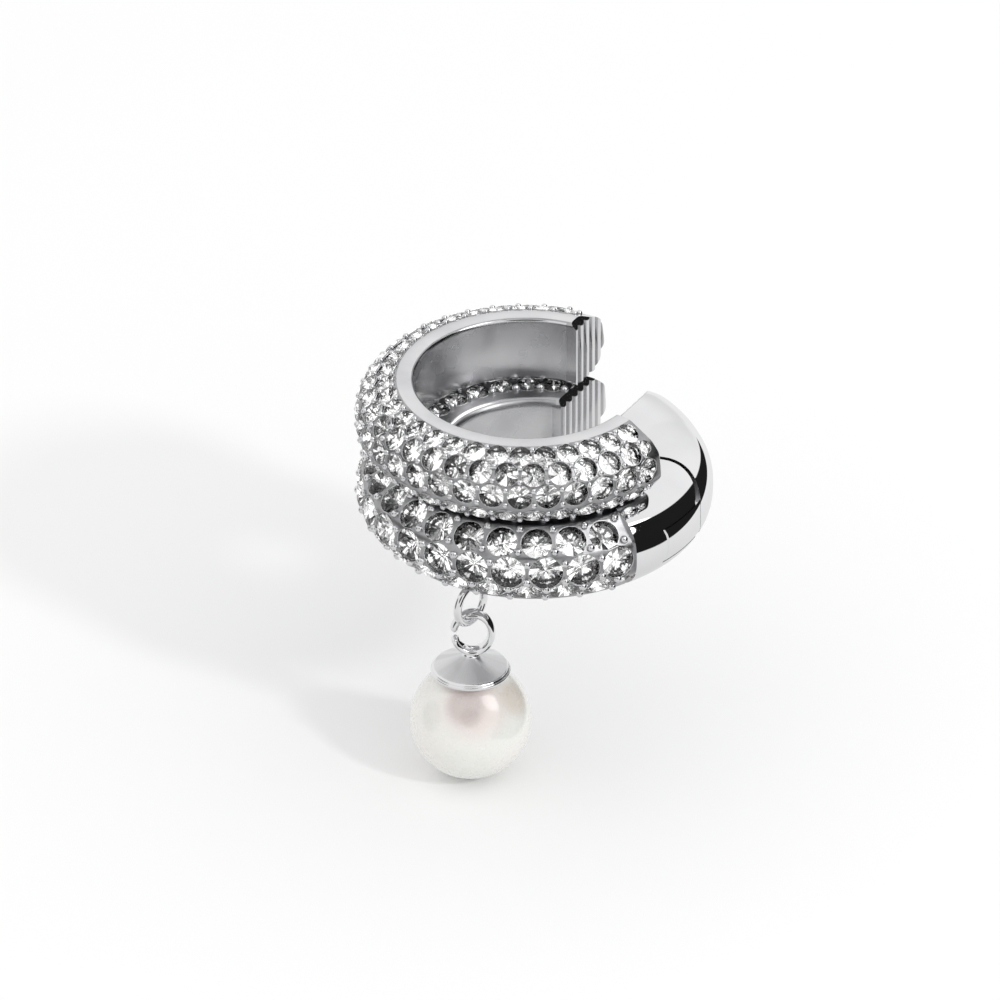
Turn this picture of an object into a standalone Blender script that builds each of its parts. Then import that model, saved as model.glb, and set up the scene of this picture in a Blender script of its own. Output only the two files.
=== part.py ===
"""Ear cuff: two stone-set bands, a hinged clip arm and a hanging pearl.

Metres, +Z up. The origin lies in the gap that grips the rim of the ear. Both bands
curl about vertical axes and end in ribbed faces that lie in one plane. The lower band goes on
past its stones as a polished stub, whose fork holds the clip arm on a vertical pin. A ring
soldered under the lower band carries the eye of the pearl's cap.
"""
import math
from collections import namedtuple

import bmesh
import bpy
from mathutils import Matrix, Vector

MM = 0.001

# Bands: radial width and height are taken over the tables of the stones.
UPPER_INNER_R = 5.51 * MM
UPPER_WIDTH = 2.88 * MM
UPPER_HEIGHT = 3.57 * MM
UPPER_INNER_ROUND = 0.12 * MM
LOWER_INNER_R = 4.43 * MM
LOWER_WIDTH = 4.33 * MM
LOWER_HEIGHT = 4.20 * MM
LOWER_INNER_ROUND = 0.45 * MM
BAND_CLEARANCE = 0.10 * MM
BAND_SHIFT_X = 0.44 * MM
BAND_SHIFT_Y = -0.44 * MM

# Polar angles about the band axes, in degrees, counted from +X towards +Y.
GRIP_POLAR = 56.5
RIB_PLANE_POLAR = -30.0
RIBBED_END_POLAR = 60.0
OVERRUN_DEG = 5.0
STONES_START_POLAR = 68.6
UPPER_FRONT_POLAR = 322.5
LOWER_FRONT_POLAR = 308.0
FRONT_BORDER_DEG = 0.8
PIN_POLAR = 330.0
ARM_END_POLAR = 410.0
ARM_STEP_DEG = 5.6

# Grip: how far the ribbed faces and the tip of the clip arm lie from the origin, and their ribs.
GRIP_FACE_OFFSET = 1.315 * MM
GRIP_TIP_OFFSET = 1.53 * MM
RIB_PITCH = 0.57 * MM
RIB_DEPTH = 0.13 * MM
GRIP_CHAMFER = 0.30 * MM
RIB_ARC_STEPS = 3

# Stones: the radius at the girdle and how far the table stands above the metal.
UPPER_STONE_R = 0.56 * MM
LOWER_STONE_R = 0.80 * MM
INNER_ROW_STONE_R = 0.58 * MM
STONE_RISE = 0.13 * MM
STONE_ROOT = 0.24 * MM
TABLE_SHARE = 0.60
STONE_SIDES = 8
STONE_TURN = 11.0
UPPER_COLUMNS = 26
LOWER_COLUMNS = 19

# Hinge: the fork of the stub, the tongue of the arm and the pin through both.
PIN_R = 0.42 * MM
PIN_CLEARANCE = 0.04 * MM
TONGUE_THICKNESS = 1.77 * MM
TONGUE_CLEARANCE = 0.05 * MM
TONGUE_TAIL_R = 2.62 * MM
SLOT_CLEARANCE = 0.08 * MM
SHOULDER_SEAM = 0.17 * MM
EAR_INSET = 0.01 * MM
POLISH_INSET = 0.03 * MM

# Drop: the soldered ring, the eye, the cap and the pearl.
RING_X = -3.16 * MM
RING_Y = -6.18 * MM
RING_TURN = 50.0
RING_R = 0.99 * MM
WIRE_R = 0.20 * MM
SOLDER_DEPTH = 0.12 * MM
LINK_CLEARANCE = 0.05 * MM
EYE_HALF_WIDTH = 0.93 * MM
EYE_HALF_HEIGHT = 1.08 * MM
EYE_TAIL_DEG = 186.0
EYE_FOOT_DEG = -152.0
WIRE_SIDES_RESOLUTION = 1
WIRE_STEPS = 16
PEARL_R = 3.00 * MM
PEARL_HOLE_DEPTH = 2.30 * MM
PEG_R = 0.40 * MM
PEG_LENGTH = 2.10 * MM
PEARL_CLEARANCE = 0.05 * MM
CAP_R = 1.97 * MM
CAP_RIM = 0.22 * MM
CAP_CONE = 0.72 * MM
CAP_NECK = 0.31 * MM
CAP_TOP_R = 0.34 * MM
CAP_SEAT_R = 1.25 * MM

# Heights and axes that follow from the sizes above.
LOWER_TOP = LOWER_HEIGHT / 2
LOWER_BOTTOM = -LOWER_HEIGHT / 2
UPPER_BOTTOM = LOWER_TOP + BAND_CLEARANCE
UPPER_TOP = UPPER_BOTTOM + UPPER_HEIGHT
LOWER_MID_R = LOWER_INNER_R + LOWER_WIDTH / 2
LOWER_OUTER_R = LOWER_INNER_R + LOWER_WIDTH
EAR_R = LOWER_WIDTH / 2 - EAR_INSET
CUTTER_REACH = 2 * GRIP_FACE_OFFSET
CUTTER_MARGIN = 1.2 * MM
CUTTER_TOP = LOWER_TOP + 2 * UPPER_HEIGHT
CUTTER_BOTTOM = 2 * LOWER_BOTTOM


def direction(polar_deg):
    """Horizontal unit vector at a polar angle."""
    return Vector((math.cos(math.radians(polar_deg)), math.sin(math.radians(polar_deg)), 0))


LOWER_AXIS = -LOWER_MID_R * direction(GRIP_POLAR)
UPPER_AXIS = LOWER_AXIS - Vector((BAND_SHIFT_X, BAND_SHIFT_Y, 0))
PIN_AXIS = LOWER_AXIS + LOWER_MID_R * direction(PIN_POLAR)
RING_CENTRE = LOWER_AXIS + Vector((RING_X, RING_Y, LOWER_BOTTOM - RING_R - WIRE_R + SOLDER_DEPTH))
DROP_PIVOT = RING_CENTRE - Vector((0, 0, RING_R))
EYE_CENTRE = DROP_PIVOT + Vector((0, 0, 2 * WIRE_R + LINK_CLEARANCE - EYE_HALF_HEIGHT))
CAP_TOP = EYE_CENTRE.z - EYE_HALF_HEIGHT + WIRE_R / 2

# Rows of stones on a band's section. Reach is a share of the width, from the inner wall out;
# level is a share of the height, from the top down; tilt is the angle of the table's normal.
Row = namedtuple("Row", "reach level tilt stone_r stagger")
UPPER_ROWS = (
    Row(0.500, 0.045, 62.0, UPPER_STONE_R, 0.0),
    Row(0.820, 0.200, 42.0, UPPER_STONE_R, 0.5),
    Row(0.997, 0.505, 6.0, UPPER_STONE_R, 0.0),
    Row(0.860, 0.830, -36.0, UPPER_STONE_R, 0.5),
)
LOWER_ROWS = (
    Row(0.352, 0.000, 90.0, INNER_ROW_STONE_R, 0.5),
    Row(0.807, 0.111, 53.0, LOWER_STONE_R, 0.0),
    Row(0.997, 0.443, 7.0, LOWER_STONE_R, 0.5),
    Row(0.899, 0.802, -38.0, LOWER_STONE_R, 0.0),
)

Band = namedtuple(
    "Band", "rows axis inner_r width top height rounding rim_drop columns front_polar"
)
UPPER = Band(
    UPPER_ROWS, UPPER_AXIS, UPPER_INNER_R, UPPER_WIDTH, UPPER_TOP, UPPER_HEIGHT, UPPER_INNER_ROUND,
    0.0, UPPER_COLUMNS, UPPER_FRONT_POLAR,
)
LOWER = Band(
    LOWER_ROWS, LOWER_AXIS, LOWER_INNER_R, LOWER_WIDTH, LOWER_TOP, LOWER_HEIGHT, LOWER_INNER_ROUND,
    STONE_RISE, LOWER_COLUMNS, LOWER_FRONT_POLAR,
)

# Polished section: where its outer curve starts, as a share of the width, and how square it is.
CURVE_START = 0.42
CURVE_SQUARENESS = 2.5
CURVE_STEPS = 5
ROUND_STEPS = 2

# Sides of the round shapes.
ROUND_SIDES = 36
PIN_SIDES = 16
CAP_SIDES = 24
PEARL_SIDES = 24
PEARL_RINGS = 12


def clear_scene():
    """Removes every object of the open scene."""
    for obj in list(bpy.data.objects):
        bpy.data.objects.remove(obj, do_unlink=True)


def new_collection(name):
    """Collection linked to the scene."""
    collection = bpy.data.collections.new(name)
    bpy.context.scene.collection.children.link(collection)
    return collection


def new_material(name, color, metallic, roughness):
    """Principled material."""
    material = bpy.data.materials.new(name)
    material.use_nodes = True
    shader = material.node_tree.nodes["Principled BSDF"]
    shader.inputs["Base Color"].default_value = (*color, 1)
    shader.inputs["Metallic"].default_value = metallic
    shader.inputs["Roughness"].default_value = roughness
    return material


def add_object(name, bm, collection, material=None):
    """Object from a bmesh with its faces turned outwards; without a material it is a cutter."""
    bmesh.ops.recalc_face_normals(bm, faces=bm.faces)
    mesh = bpy.data.meshes.new(name)
    bm.to_mesh(mesh)
    bm.free()
    obj = bpy.data.objects.new(name, mesh)
    collection.objects.link(obj)
    if material is None:
        obj.hide_render = True
        obj.display_type = "WIRE"
    else:
        mesh.materials.append(material)
    return obj


def combine(obj, other, operation):
    """Exact Boolean of one object with another."""
    modifier = obj.modifiers.new(f"{operation.title()} {other.name}", "BOOLEAN")
    modifier.operation = operation
    modifier.solver = "EXACT"
    modifier.object = other


def face_from(bm, points):
    """One face through a list of points."""
    return bm.faces.new([bm.verts.new(point) for point in points])


def spun(outline, axis, start_deg, stretches):
    """Closed solid of an outline of (radius, height) turned about a vertical axis.

    Each stretch is the polar angle it runs to and its number of steps.
    """
    bm = bmesh.new()
    out = direction(start_deg)
    face = face_from(bm, [axis + radius * out + Vector((0, 0, height)) for radius, height in outline])
    geom = [face, *face.edges, *face.verts]
    for end_deg, steps in stretches:
        turn = math.radians(end_deg - start_deg)
        made = bmesh.ops.spin(bm, geom=geom, cent=axis, axis=(0, 0, 1), angle=turn, steps=steps)
        geom = made["geom_last"]
        start_deg = end_deg
    return bm


def polished_bar(start_deg, end_deg):
    """Closed stretch of the polished section."""
    steps = math.ceil((end_deg - start_deg) / ARM_STEP_DEG)
    return spun(polished_outline(), LOWER_AXIS, start_deg, [(end_deg, steps)])


def prism(points, bottom, top):
    """Closed solid of a flat outline, from one height up to another."""
    bm = bmesh.new()
    face = face_from(bm, [Vector((point.x, point.y, bottom)) for point in points])
    grown = bmesh.ops.extrude_face_region(bm, geom=[face])["geom"]
    rise = Vector((0, 0, top - bottom))
    bmesh.ops.translate(bm, vec=rise, verts=[v for v in grown if isinstance(v, bmesh.types.BMVert)])
    return bm


def post(centre, radius, bottom, top, sides):
    """Closed upright cylinder."""
    bm = bmesh.new()
    place = Matrix.Translation((centre.x, centre.y, (bottom + top) / 2))
    bmesh.ops.create_cone(
        bm, cap_ends=True, segments=sides, radius1=radius, radius2=radius, depth=top - bottom,
        matrix=place,
    )
    return bm


def crossing(line_a, line_b):
    """Point where two section lines meet; each line is a point and the angle of its normal."""
    (point_a, tilt_a), (point_b, tilt_b) = line_a, line_b
    normal_a, normal_b = direction(tilt_a).xy, direction(tilt_b).xy
    reach_a, reach_b = normal_a.dot(point_a), normal_b.dot(point_b)
    scale = normal_a.cross(normal_b)
    x = (reach_a * normal_b.y - reach_b * normal_a.y) / scale
    y = (reach_b * normal_a.x - reach_a * normal_b.x) / scale
    return Vector((x, y))


def row_point(band, row):
    """Section point of a row's table, as radius and height."""
    return Vector((band.inner_r + row.reach * band.width, band.top - row.level * band.height))


def inner_corner(inner_r, edge, inset_r, inset_z):
    """Quarter round from the inner wall to a flat; the flat is at the height edge."""
    points = []
    for step in range(ROUND_STEPS + 1):
        turn = math.radians(90 * step / ROUND_STEPS)
        points.append(
            Vector((inner_r + inset_r * (1 - math.sin(turn)), edge + inset_z * (1 - math.cos(turn))))
        )
    return points


def stone_band_outline(band):
    """Section of a stone-set band: one flat facet for each row of stones."""
    rim = band.top - band.rim_drop
    bottom = band.top - band.height
    lines = [(Vector((band.inner_r, rim)), 90.0)]
    for row in band.rows:
        if row.tilt < 90.0:
            lines.append((row_point(band, row) - STONE_RISE * direction(row.tilt).xy, row.tilt))
    lines.append((Vector((band.inner_r, bottom)), -90.0))
    outer = [crossing(first, second) for first, second in zip(lines, lines[1:])]
    upper_round = inner_corner(band.inner_r, rim, band.rounding, -band.rounding)
    lower_round = inner_corner(band.inner_r, bottom, band.rounding, band.rounding)
    return upper_round[::-1] + outer + lower_round


def polished_outline():
    """Section of the polished stub and clip arm: a plump D with a flat inner wall."""
    inner_r = LOWER_INNER_R + POLISH_INSET
    top = LOWER_TOP - POLISH_INSET
    bottom = LOWER_BOTTOM + POLISH_INSET
    centre_r = LOWER_INNER_R + CURVE_START * LOWER_WIDTH
    reach = LOWER_OUTER_R - centre_r
    half = (top - bottom) / 2
    outer = []
    for step in range(2 * CURVE_STEPS + 1):
        turn = math.radians(90 - 90 * step / CURVE_STEPS)
        along = abs(math.cos(turn)) ** (2 / CURVE_SQUARENESS)
        up = math.copysign(abs(math.sin(turn)) ** (2 / CURVE_SQUARENESS), math.sin(turn))
        outer.append(Vector((centre_r + reach * along, half * up)))
    upper_round = inner_corner(inner_r, top, LOWER_INNER_ROUND, -LOWER_INNER_ROUND)
    lower_round = inner_corner(inner_r, bottom, LOWER_INNER_ROUND, LOWER_INNER_ROUND)
    return upper_round[::-1] + outer + lower_round


def add_stone(bm, place, radius):
    """One octagonal stone: flat table, eight crown facets and a root that sits in the metal."""
    made = bmesh.ops.create_cone(
        bm, cap_ends=True, segments=STONE_SIDES, radius1=radius, radius2=TABLE_SHARE * radius,
        depth=STONE_RISE, matrix=Matrix.Translation((0, 0, -STONE_RISE / 2)),
    )
    verts = made["verts"]
    girdle = next(f for v in verts for f in v.link_faces if all(w.co.z < -STONE_RISE / 2 for w in f.verts))
    grown = bmesh.ops.extrude_face_region(bm, geom=[girdle])["geom"]
    root = [v for v in grown if isinstance(v, bmesh.types.BMVert)]
    bmesh.ops.translate(bm, vec=(0, 0, -STONE_ROOT), verts=root)
    bmesh.ops.delete(bm, geom=[girdle], context="FACES_ONLY")
    bmesh.ops.transform(bm, matrix=place, verts=verts + root)


def stones_end(band):
    """Polar angle where a band's stones end and its border starts."""
    return band.front_polar - FRONT_BORDER_DEG


def stone_field(band):
    """All stones of a band; staggered rows sit half a column further round."""
    bm = bmesh.new()
    pitch_deg = (stones_end(band) - STONES_START_POLAR) / band.columns
    for row in band.rows:
        radius, level = row_point(band, row)
        count = band.columns - (1 if row.stagger else 0)
        for column in range(count):
            out = direction(STONES_START_POLAR + (column + 0.5 + row.stagger) * pitch_deg)
            tilt = math.radians(row.tilt)
            normal = math.cos(tilt) * out + math.sin(tilt) * Vector((0, 0, 1))
            facing = normal.to_track_quat("Z", "Y").to_matrix()
            place = (facing @ Matrix.Rotation(math.radians(STONE_TURN), 3, "Z")).to_4x4()
            place.translation = band.axis + radius * out + Vector((0, 0, level))
            add_stone(bm, place, row.stone_r)
    return bm


def ribbed_cutter(face_centre, towards_polar):
    """Cutter on one side of an end face; the face that it leaves has upright round ribs."""
    out = direction(towards_polar)
    along = direction(towards_polar + 90)
    count = math.ceil((LOWER_WIDTH / 2 + CUTTER_MARGIN) / RIB_PITCH)
    edge = []
    for rib in range(-count, count):
        for step in range(RIB_ARC_STEPS):
            share = step / RIB_ARC_STEPS
            depth = RIB_DEPTH * (1 - math.sin(math.pi * share))
            edge.append(face_centre - depth * out + (rib + share) * RIB_PITCH * along)
    back = [edge[-1] + CUTTER_REACH * out, edge[0] + CUTTER_REACH * out]
    return prism(edge + back, CUTTER_BOTTOM, CUTTER_TOP)


def chamfer_cutter(face_centre, towards_polar, top):
    """Block that takes the top edge off an end face, at 45 degrees."""
    along = direction(towards_polar + 90)
    normal = (direction(towards_polar) + Vector((0, 0, 1))).normalized()
    side = 2 * (LOWER_WIDTH / 2 + CUTTER_MARGIN)
    edge = face_centre + Vector((0, 0, top))
    centre = edge + (side / 2 - GRIP_CHAMFER / math.sqrt(2)) * normal
    facing = Matrix((normal, along, normal.cross(along))).transposed().to_4x4()
    bm = bmesh.new()
    bmesh.ops.create_cube(bm, size=side, matrix=Matrix.Translation(centre) @ facing)
    return bm


def cut_ribbed_face(obj, face_centre, towards_polar, top, cutters):
    """Cuts an end face with ribs and a chamfered top edge."""
    ribs = add_object(obj.name + "_ribs", ribbed_cutter(face_centre, towards_polar), cutters)
    combine(obj, ribs, "DIFFERENCE")
    chamfer = chamfer_cutter(face_centre, towards_polar, top)
    combine(obj, add_object(obj.name + "_chamfer", chamfer, cutters), "DIFFERENCE")


def wire_mesh(name, points, cyclic, collection):
    """Round wire along a list of points, as a mesh object with welded caps."""
    curve = bpy.data.curves.new(name, "CURVE")
    curve.dimensions = "3D"
    curve.bevel_depth = WIRE_R
    curve.bevel_resolution = WIRE_SIDES_RESOLUTION
    curve.use_fill_caps = not cyclic
    spline = curve.splines.new("POLY")
    spline.points.add(len(points) - 1)
    for point, place in zip(spline.points, points):
        point.co = (*place, 1)
    spline.use_cyclic_u = cyclic
    source = bpy.data.objects.new(name + "_line", curve)
    collection.objects.link(source)
    depsgraph = bpy.context.evaluated_depsgraph_get()
    bm = bmesh.new()
    mesh = bpy.data.meshes.new_from_object(source.evaluated_get(depsgraph))
    bm.from_mesh(mesh)
    bmesh.ops.remove_doubles(bm, verts=bm.verts, dist=WIRE_R / 100)
    bm.transform(source.matrix_world)
    bpy.data.objects.remove(source, do_unlink=True)
    return add_object(name, bm, collection)


def loop_points(centre, turn_deg, half_width, half_height, start_deg, end_deg, steps):
    """Points of an upright oval loop; angle 0 is along the turn direction and 90 is up."""
    side = direction(turn_deg)
    points = []
    for step in range(steps):
        angle = math.radians(start_deg + (end_deg - start_deg) * step / (steps - 1))
        reach = half_width * math.cos(angle) * side
        points.append(centre + reach + Vector((0, 0, half_height * math.sin(angle))))
    return points


def turned(name, profile, centre, sides, collection, material):
    """Turned solid: a profile of (radius, height) down its outer side, spun by a Screw modifier."""
    bm = bmesh.new()
    verts = [bm.verts.new((radius, 0, height)) for radius, height in profile]
    for first, second in zip(verts, verts[1:]):
        bm.edges.new((first, second))
    mesh = bpy.data.meshes.new(name)
    bm.to_mesh(mesh)
    bm.free()
    obj = bpy.data.objects.new(name, mesh)
    obj.location = centre
    collection.objects.link(obj)
    mesh.materials.append(material)
    screw = obj.modifiers.new("Turn", "SCREW")
    screw.steps = sides
    screw.render_steps = sides
    screw.use_merge_vertices = True
    screw.merge_threshold = 0.00001
    screw.use_smooth_shade = True
    return obj


def build_band(name, band, parts, cutters, metal):
    """Stone-set band with its ribbed end; the stones are joined last, by finish_band."""
    solid = spun(
        stone_band_outline(band), band.axis, RIBBED_END_POLAR - OVERRUN_DEG,
        [(STONES_START_POLAR, 2), (stones_end(band), band.columns), (band.front_polar, 1)],
    )
    obj = add_object(name, solid, parts, metal)
    face_centre = -GRIP_FACE_OFFSET * direction(RIB_PLANE_POLAR)
    cut_ribbed_face(obj, face_centre, RIB_PLANE_POLAR, band.top - band.rim_drop, cutters)
    return obj


def finish_band(obj, band, cutters):
    """Joins the stones to their band."""
    combine(obj, add_object(obj.name + "_stones", stone_field(band), cutters), "UNION")


def build_upper_band(parts, cutters, metal):
    """Upper band with its stones and its ribbed end."""
    finish_band(build_band("upper_band", UPPER, parts, cutters, metal), UPPER, cutters)


def build_lower_band(parts, cutters, metal):
    """Lower band with its stones, ribbed end, polished fork and soldered ring."""
    lower = build_band("lower_band", LOWER, parts, cutters, metal)
    stub = polished_bar(LOWER_FRONT_POLAR - FRONT_BORDER_DEG, PIN_POLAR)
    combine(lower, add_object("stub", stub, cutters), "UNION")
    ears = add_object("ears", polished_bar(PIN_POLAR - ARM_STEP_DEG, PIN_POLAR + 5 * ARM_STEP_DEG), cutters)
    round_end = post(PIN_AXIS, EAR_R, CUTTER_BOTTOM, CUTTER_TOP, ROUND_SIDES)
    combine(ears, add_object("ear_round", round_end, cutters), "INTERSECT")
    combine(lower, ears, "UNION")
    half_slot = TONGUE_THICKNESS / 2 + TONGUE_CLEARANCE
    slot = post(PIN_AXIS, TONGUE_TAIL_R + SLOT_CLEARANCE, -half_slot, half_slot, ROUND_SIDES)
    combine(lower, add_object("slot", slot, cutters), "DIFFERENCE")
    hole = post(PIN_AXIS, PIN_R + PIN_CLEARANCE, CUTTER_BOTTOM, CUTTER_TOP, PIN_SIDES)
    combine(lower, add_object("fork_hole", hole, cutters), "DIFFERENCE")
    points = loop_points(RING_CENTRE, RING_TURN, RING_R, RING_R, 0, 360 - 360 / WIRE_STEPS, WIRE_STEPS)
    combine(lower, wire_mesh("soldered_ring", points, True, cutters), "UNION")
    finish_band(lower, LOWER, cutters)


def build_clip_arm(parts, cutters, metal, pivot):
    """Clip arm: a polished bar with a tongue for the fork and a ribbed tip."""
    arm = add_object("clip_arm", polished_bar(PIN_POLAR, ARM_END_POLAR), parts, metal)
    shoulder = post(PIN_AXIS, EAR_R + SHOULDER_SEAM, CUTTER_BOTTOM, CUTTER_TOP, ROUND_SIDES)
    combine(arm, add_object("shoulder_cutter", shoulder, cutters), "DIFFERENCE")
    reach_deg = 5 * ARM_STEP_DEG
    tongue = add_object("tongue", polished_bar(PIN_POLAR - reach_deg, PIN_POLAR + reach_deg), cutters)
    half = TONGUE_THICKNESS / 2
    tail = post(PIN_AXIS, TONGUE_TAIL_R, -half, half, ROUND_SIDES)
    combine(tongue, add_object("tail_round", tail, cutters), "INTERSECT")
    combine(arm, tongue, "UNION")
    hole = post(PIN_AXIS, PIN_R + PIN_CLEARANCE, CUTTER_BOTTOM, CUTTER_TOP, PIN_SIDES)
    combine(arm, add_object("tongue_hole", hole, cutters), "DIFFERENCE")
    tip = GRIP_TIP_OFFSET * direction(RIB_PLANE_POLAR)
    cut_ribbed_face(arm, tip, RIB_PLANE_POLAR + 180, LOWER_TOP - POLISH_INSET, cutters)
    arm.parent = pivot
    arm.matrix_parent_inverse = pivot.matrix_world.inverted()
    return arm


def build_hinge_pin(parts, metal):
    """Hinge pin through both ears of the fork, burnished flush."""
    half = LOWER_HEIGHT / 2 - POLISH_INSET
    chamfer = PIN_CLEARANCE
    profile = [(0, half), (PIN_R - chamfer, half), (PIN_R, half - chamfer)]
    profile += [(PIN_R, chamfer - half), (PIN_R - chamfer, -half), (0, -half)]
    return turned("hinge_pin", profile, PIN_AXIS, PIN_SIDES, parts, metal)


def build_drop(parts, cutters, metal, pearl_coat, pivot):
    """Pearl and its cap, which hang by an open eye in the soldered ring."""
    axis = Vector((DROP_PIVOT.x, DROP_PIVOT.y, 0))
    cone_top = CAP_TOP - CAP_NECK
    rim_top = cone_top - CAP_CONE
    rim_bottom = rim_top - CAP_RIM
    pearl_centre = rim_bottom - math.sqrt((PEARL_R + PEARL_CLEARANCE) ** 2 - CAP_SEAT_R ** 2)
    profile = [(0, CAP_TOP), (CAP_TOP_R, CAP_TOP), (CAP_TOP_R, cone_top)]
    profile += [(CAP_R, rim_top), (CAP_R, rim_bottom), (CAP_SEAT_R, rim_bottom)]
    dish_r = PEARL_R + PEARL_CLEARANCE
    middle_r = (CAP_SEAT_R + PEG_R) / 2
    for radius in (middle_r, PEG_R):
        profile.append((radius, pearl_centre + math.sqrt(dish_r ** 2 - radius ** 2)))
    peg_end = pearl_centre + PEARL_R - PEG_LENGTH
    profile += [(PEG_R, peg_end), (0, peg_end)]
    cap = turned("drop_cap", profile, axis, CAP_SIDES, parts, metal)
    eye_points = loop_points(
        EYE_CENTRE, 0, EYE_HALF_WIDTH, EYE_HALF_HEIGHT, EYE_FOOT_DEG, EYE_TAIL_DEG, WIRE_STEPS + 2
    )
    combine(cap, wire_mesh("eye", eye_points, False, cutters), "UNION")

    hole_r = PEG_R + PEARL_CLEARANCE
    start = math.asin(hole_r / PEARL_R)
    profile = [(0, pearl_centre + PEARL_R - PEARL_HOLE_DEPTH)]
    profile.append((hole_r, pearl_centre + PEARL_R - PEARL_HOLE_DEPTH))
    for step in range(PEARL_RINGS + 1):
        turn = start + (math.pi - start) * step / PEARL_RINGS
        radius = 0 if step == PEARL_RINGS else PEARL_R * math.sin(turn)
        profile.append((radius, pearl_centre + PEARL_R * math.cos(turn)))
    pearl = turned("pearl", profile, axis, PEARL_SIDES, parts, pearl_coat)
    for obj in (cap, pearl):
        obj.parent = pivot
        obj.matrix_parent_inverse = pivot.matrix_world.inverted()
    return cap, pearl


def add_pivot(name, place, collection):
    """Empty on a joint's axis."""
    pivot = bpy.data.objects.new(name, None)
    pivot.empty_display_size = PEARL_R
    pivot.location = place
    collection.objects.link(pivot)
    bpy.context.view_layer.update()
    return pivot


def main():
    """Builds the whole ear cuff."""
    clear_scene()
    parts = new_collection("ear_cuff")
    cutters = new_collection("ear_cuff_cutters")
    band_metal = new_material("band_metal", (0.78, 0.78, 0.80), 1.0, 0.12)
    lower_metal = new_material("lower_band_metal", (0.76, 0.76, 0.78), 1.0, 0.12)
    arm_metal = new_material("arm_metal", (0.86, 0.86, 0.87), 1.0, 0.06)
    pin_metal = new_material("pin_metal", (0.80, 0.80, 0.80), 1.0, 0.15)
    cap_metal = new_material("cap_metal", (0.84, 0.84, 0.85), 1.0, 0.10)
    pearl_coat = new_material("pearl_coat", (0.93, 0.90, 0.87), 0.0, 0.22)
    arm_pivot = add_pivot("arm_pivot", PIN_AXIS, parts)
    drop_pivot = add_pivot("drop_pivot", DROP_PIVOT, parts)
    build_upper_band(parts, cutters, band_metal)
    build_lower_band(parts, cutters, lower_metal)
    build_clip_arm(parts, cutters, arm_metal, arm_pivot)
    build_hinge_pin(parts, pin_metal)
    build_drop(parts, cutters, cap_metal, pearl_coat, drop_pivot)


main()
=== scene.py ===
"""Looks of the ear cuff: stone-set bands, polished hinge and clip arm, ring, cap and pearl.

Every size is in metres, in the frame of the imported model: the origin is the middle of the ear
gap and +Z runs up along the axes the bands curl about.
"""
import logging
import math
from collections.abc import Callable
from dataclasses import dataclass, replace
from enum import Enum

import bmesh
import bpy
from mathutils import Matrix, Vector, noise


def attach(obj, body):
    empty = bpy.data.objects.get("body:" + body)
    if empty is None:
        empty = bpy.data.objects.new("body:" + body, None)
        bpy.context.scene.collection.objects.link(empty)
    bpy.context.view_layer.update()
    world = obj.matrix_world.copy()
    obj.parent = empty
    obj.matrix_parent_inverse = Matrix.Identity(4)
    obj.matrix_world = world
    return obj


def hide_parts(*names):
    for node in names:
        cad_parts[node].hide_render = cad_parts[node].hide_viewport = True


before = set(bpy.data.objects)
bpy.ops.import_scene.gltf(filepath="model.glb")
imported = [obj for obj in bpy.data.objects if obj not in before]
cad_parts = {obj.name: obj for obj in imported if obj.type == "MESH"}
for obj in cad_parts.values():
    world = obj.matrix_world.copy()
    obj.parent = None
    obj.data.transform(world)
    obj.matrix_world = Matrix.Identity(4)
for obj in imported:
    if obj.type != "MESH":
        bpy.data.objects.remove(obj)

MM = 0.001
LOG = logging.getLogger("ear_cuff")

# Places that the pieces share.
UP = Vector((0, 0, 1))
LOWER_AXIS = Vector((-3.6400, -5.4995, 0.0)) * MM
UPPER_AXIS = Vector((-4.0800, -5.0595, 0.0)) * MM
PIN_AXIS = Vector((2.0714, -8.7970, 0.0)) * MM
RING_CENTRE = Vector((-6.8000, -11.6795, -3.1700)) * MM
RIB_PLANE_POLAR = -30.0
GRIP_FACE_OFFSET = 1.315 * MM
GRIP_TIP_OFFSET = 1.53 * MM
STONES_START_POLAR = 68.6
DROP_AXIS = Vector((RING_CENTRE.x, RING_CENTRE.y, 0))

# Limits for welding a mesh and telling its faces apart.
WELD = 0.0005 * MM
NEAR = 0.02 * MM
SHARP_DEG = 32.0
GROOVE_SHARE = 0.47
UPRIGHT_SHARE = 0.3

# Sides of the round shapes.
PIN_SIDES = 48
CAP_SIDES = 72
PEARL_SIDES = 96


class Body(Enum):
    """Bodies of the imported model."""

    CUFF = "cuff"
    CLIP = "clip"
    DROP = "drop"


class Slot(Enum):
    """Material slots of the record."""

    BAND = "band_metal"
    POLISHED = "polished_metal"
    PEARL = "pearl"


class Operation(Enum):
    """Ways to combine two closed meshes."""

    CUT = "DIFFERENCE"
    COMMON = "INTERSECT"


def direction(polar_deg: float) -> Vector:
    """Gives the horizontal unit vector at a polar angle, counted from +X towards +Y."""
    return Vector((math.cos(math.radians(polar_deg)), math.sin(math.radians(polar_deg)), 0))


def flat_direction(angle_deg: float) -> Vector:
    """Gives the unit vector at an angle in a section plane of radius and height."""
    return Vector((math.cos(math.radians(angle_deg)), math.sin(math.radians(angle_deg))))


def spread(start: float, end: float, step: float) -> list[float]:
    """Gives evenly spaced values from start to end, at most a step apart."""
    count = math.ceil(abs(end - start) / step)
    return [start + (end - start) * index / count for index in range(count + 1)]


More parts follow.
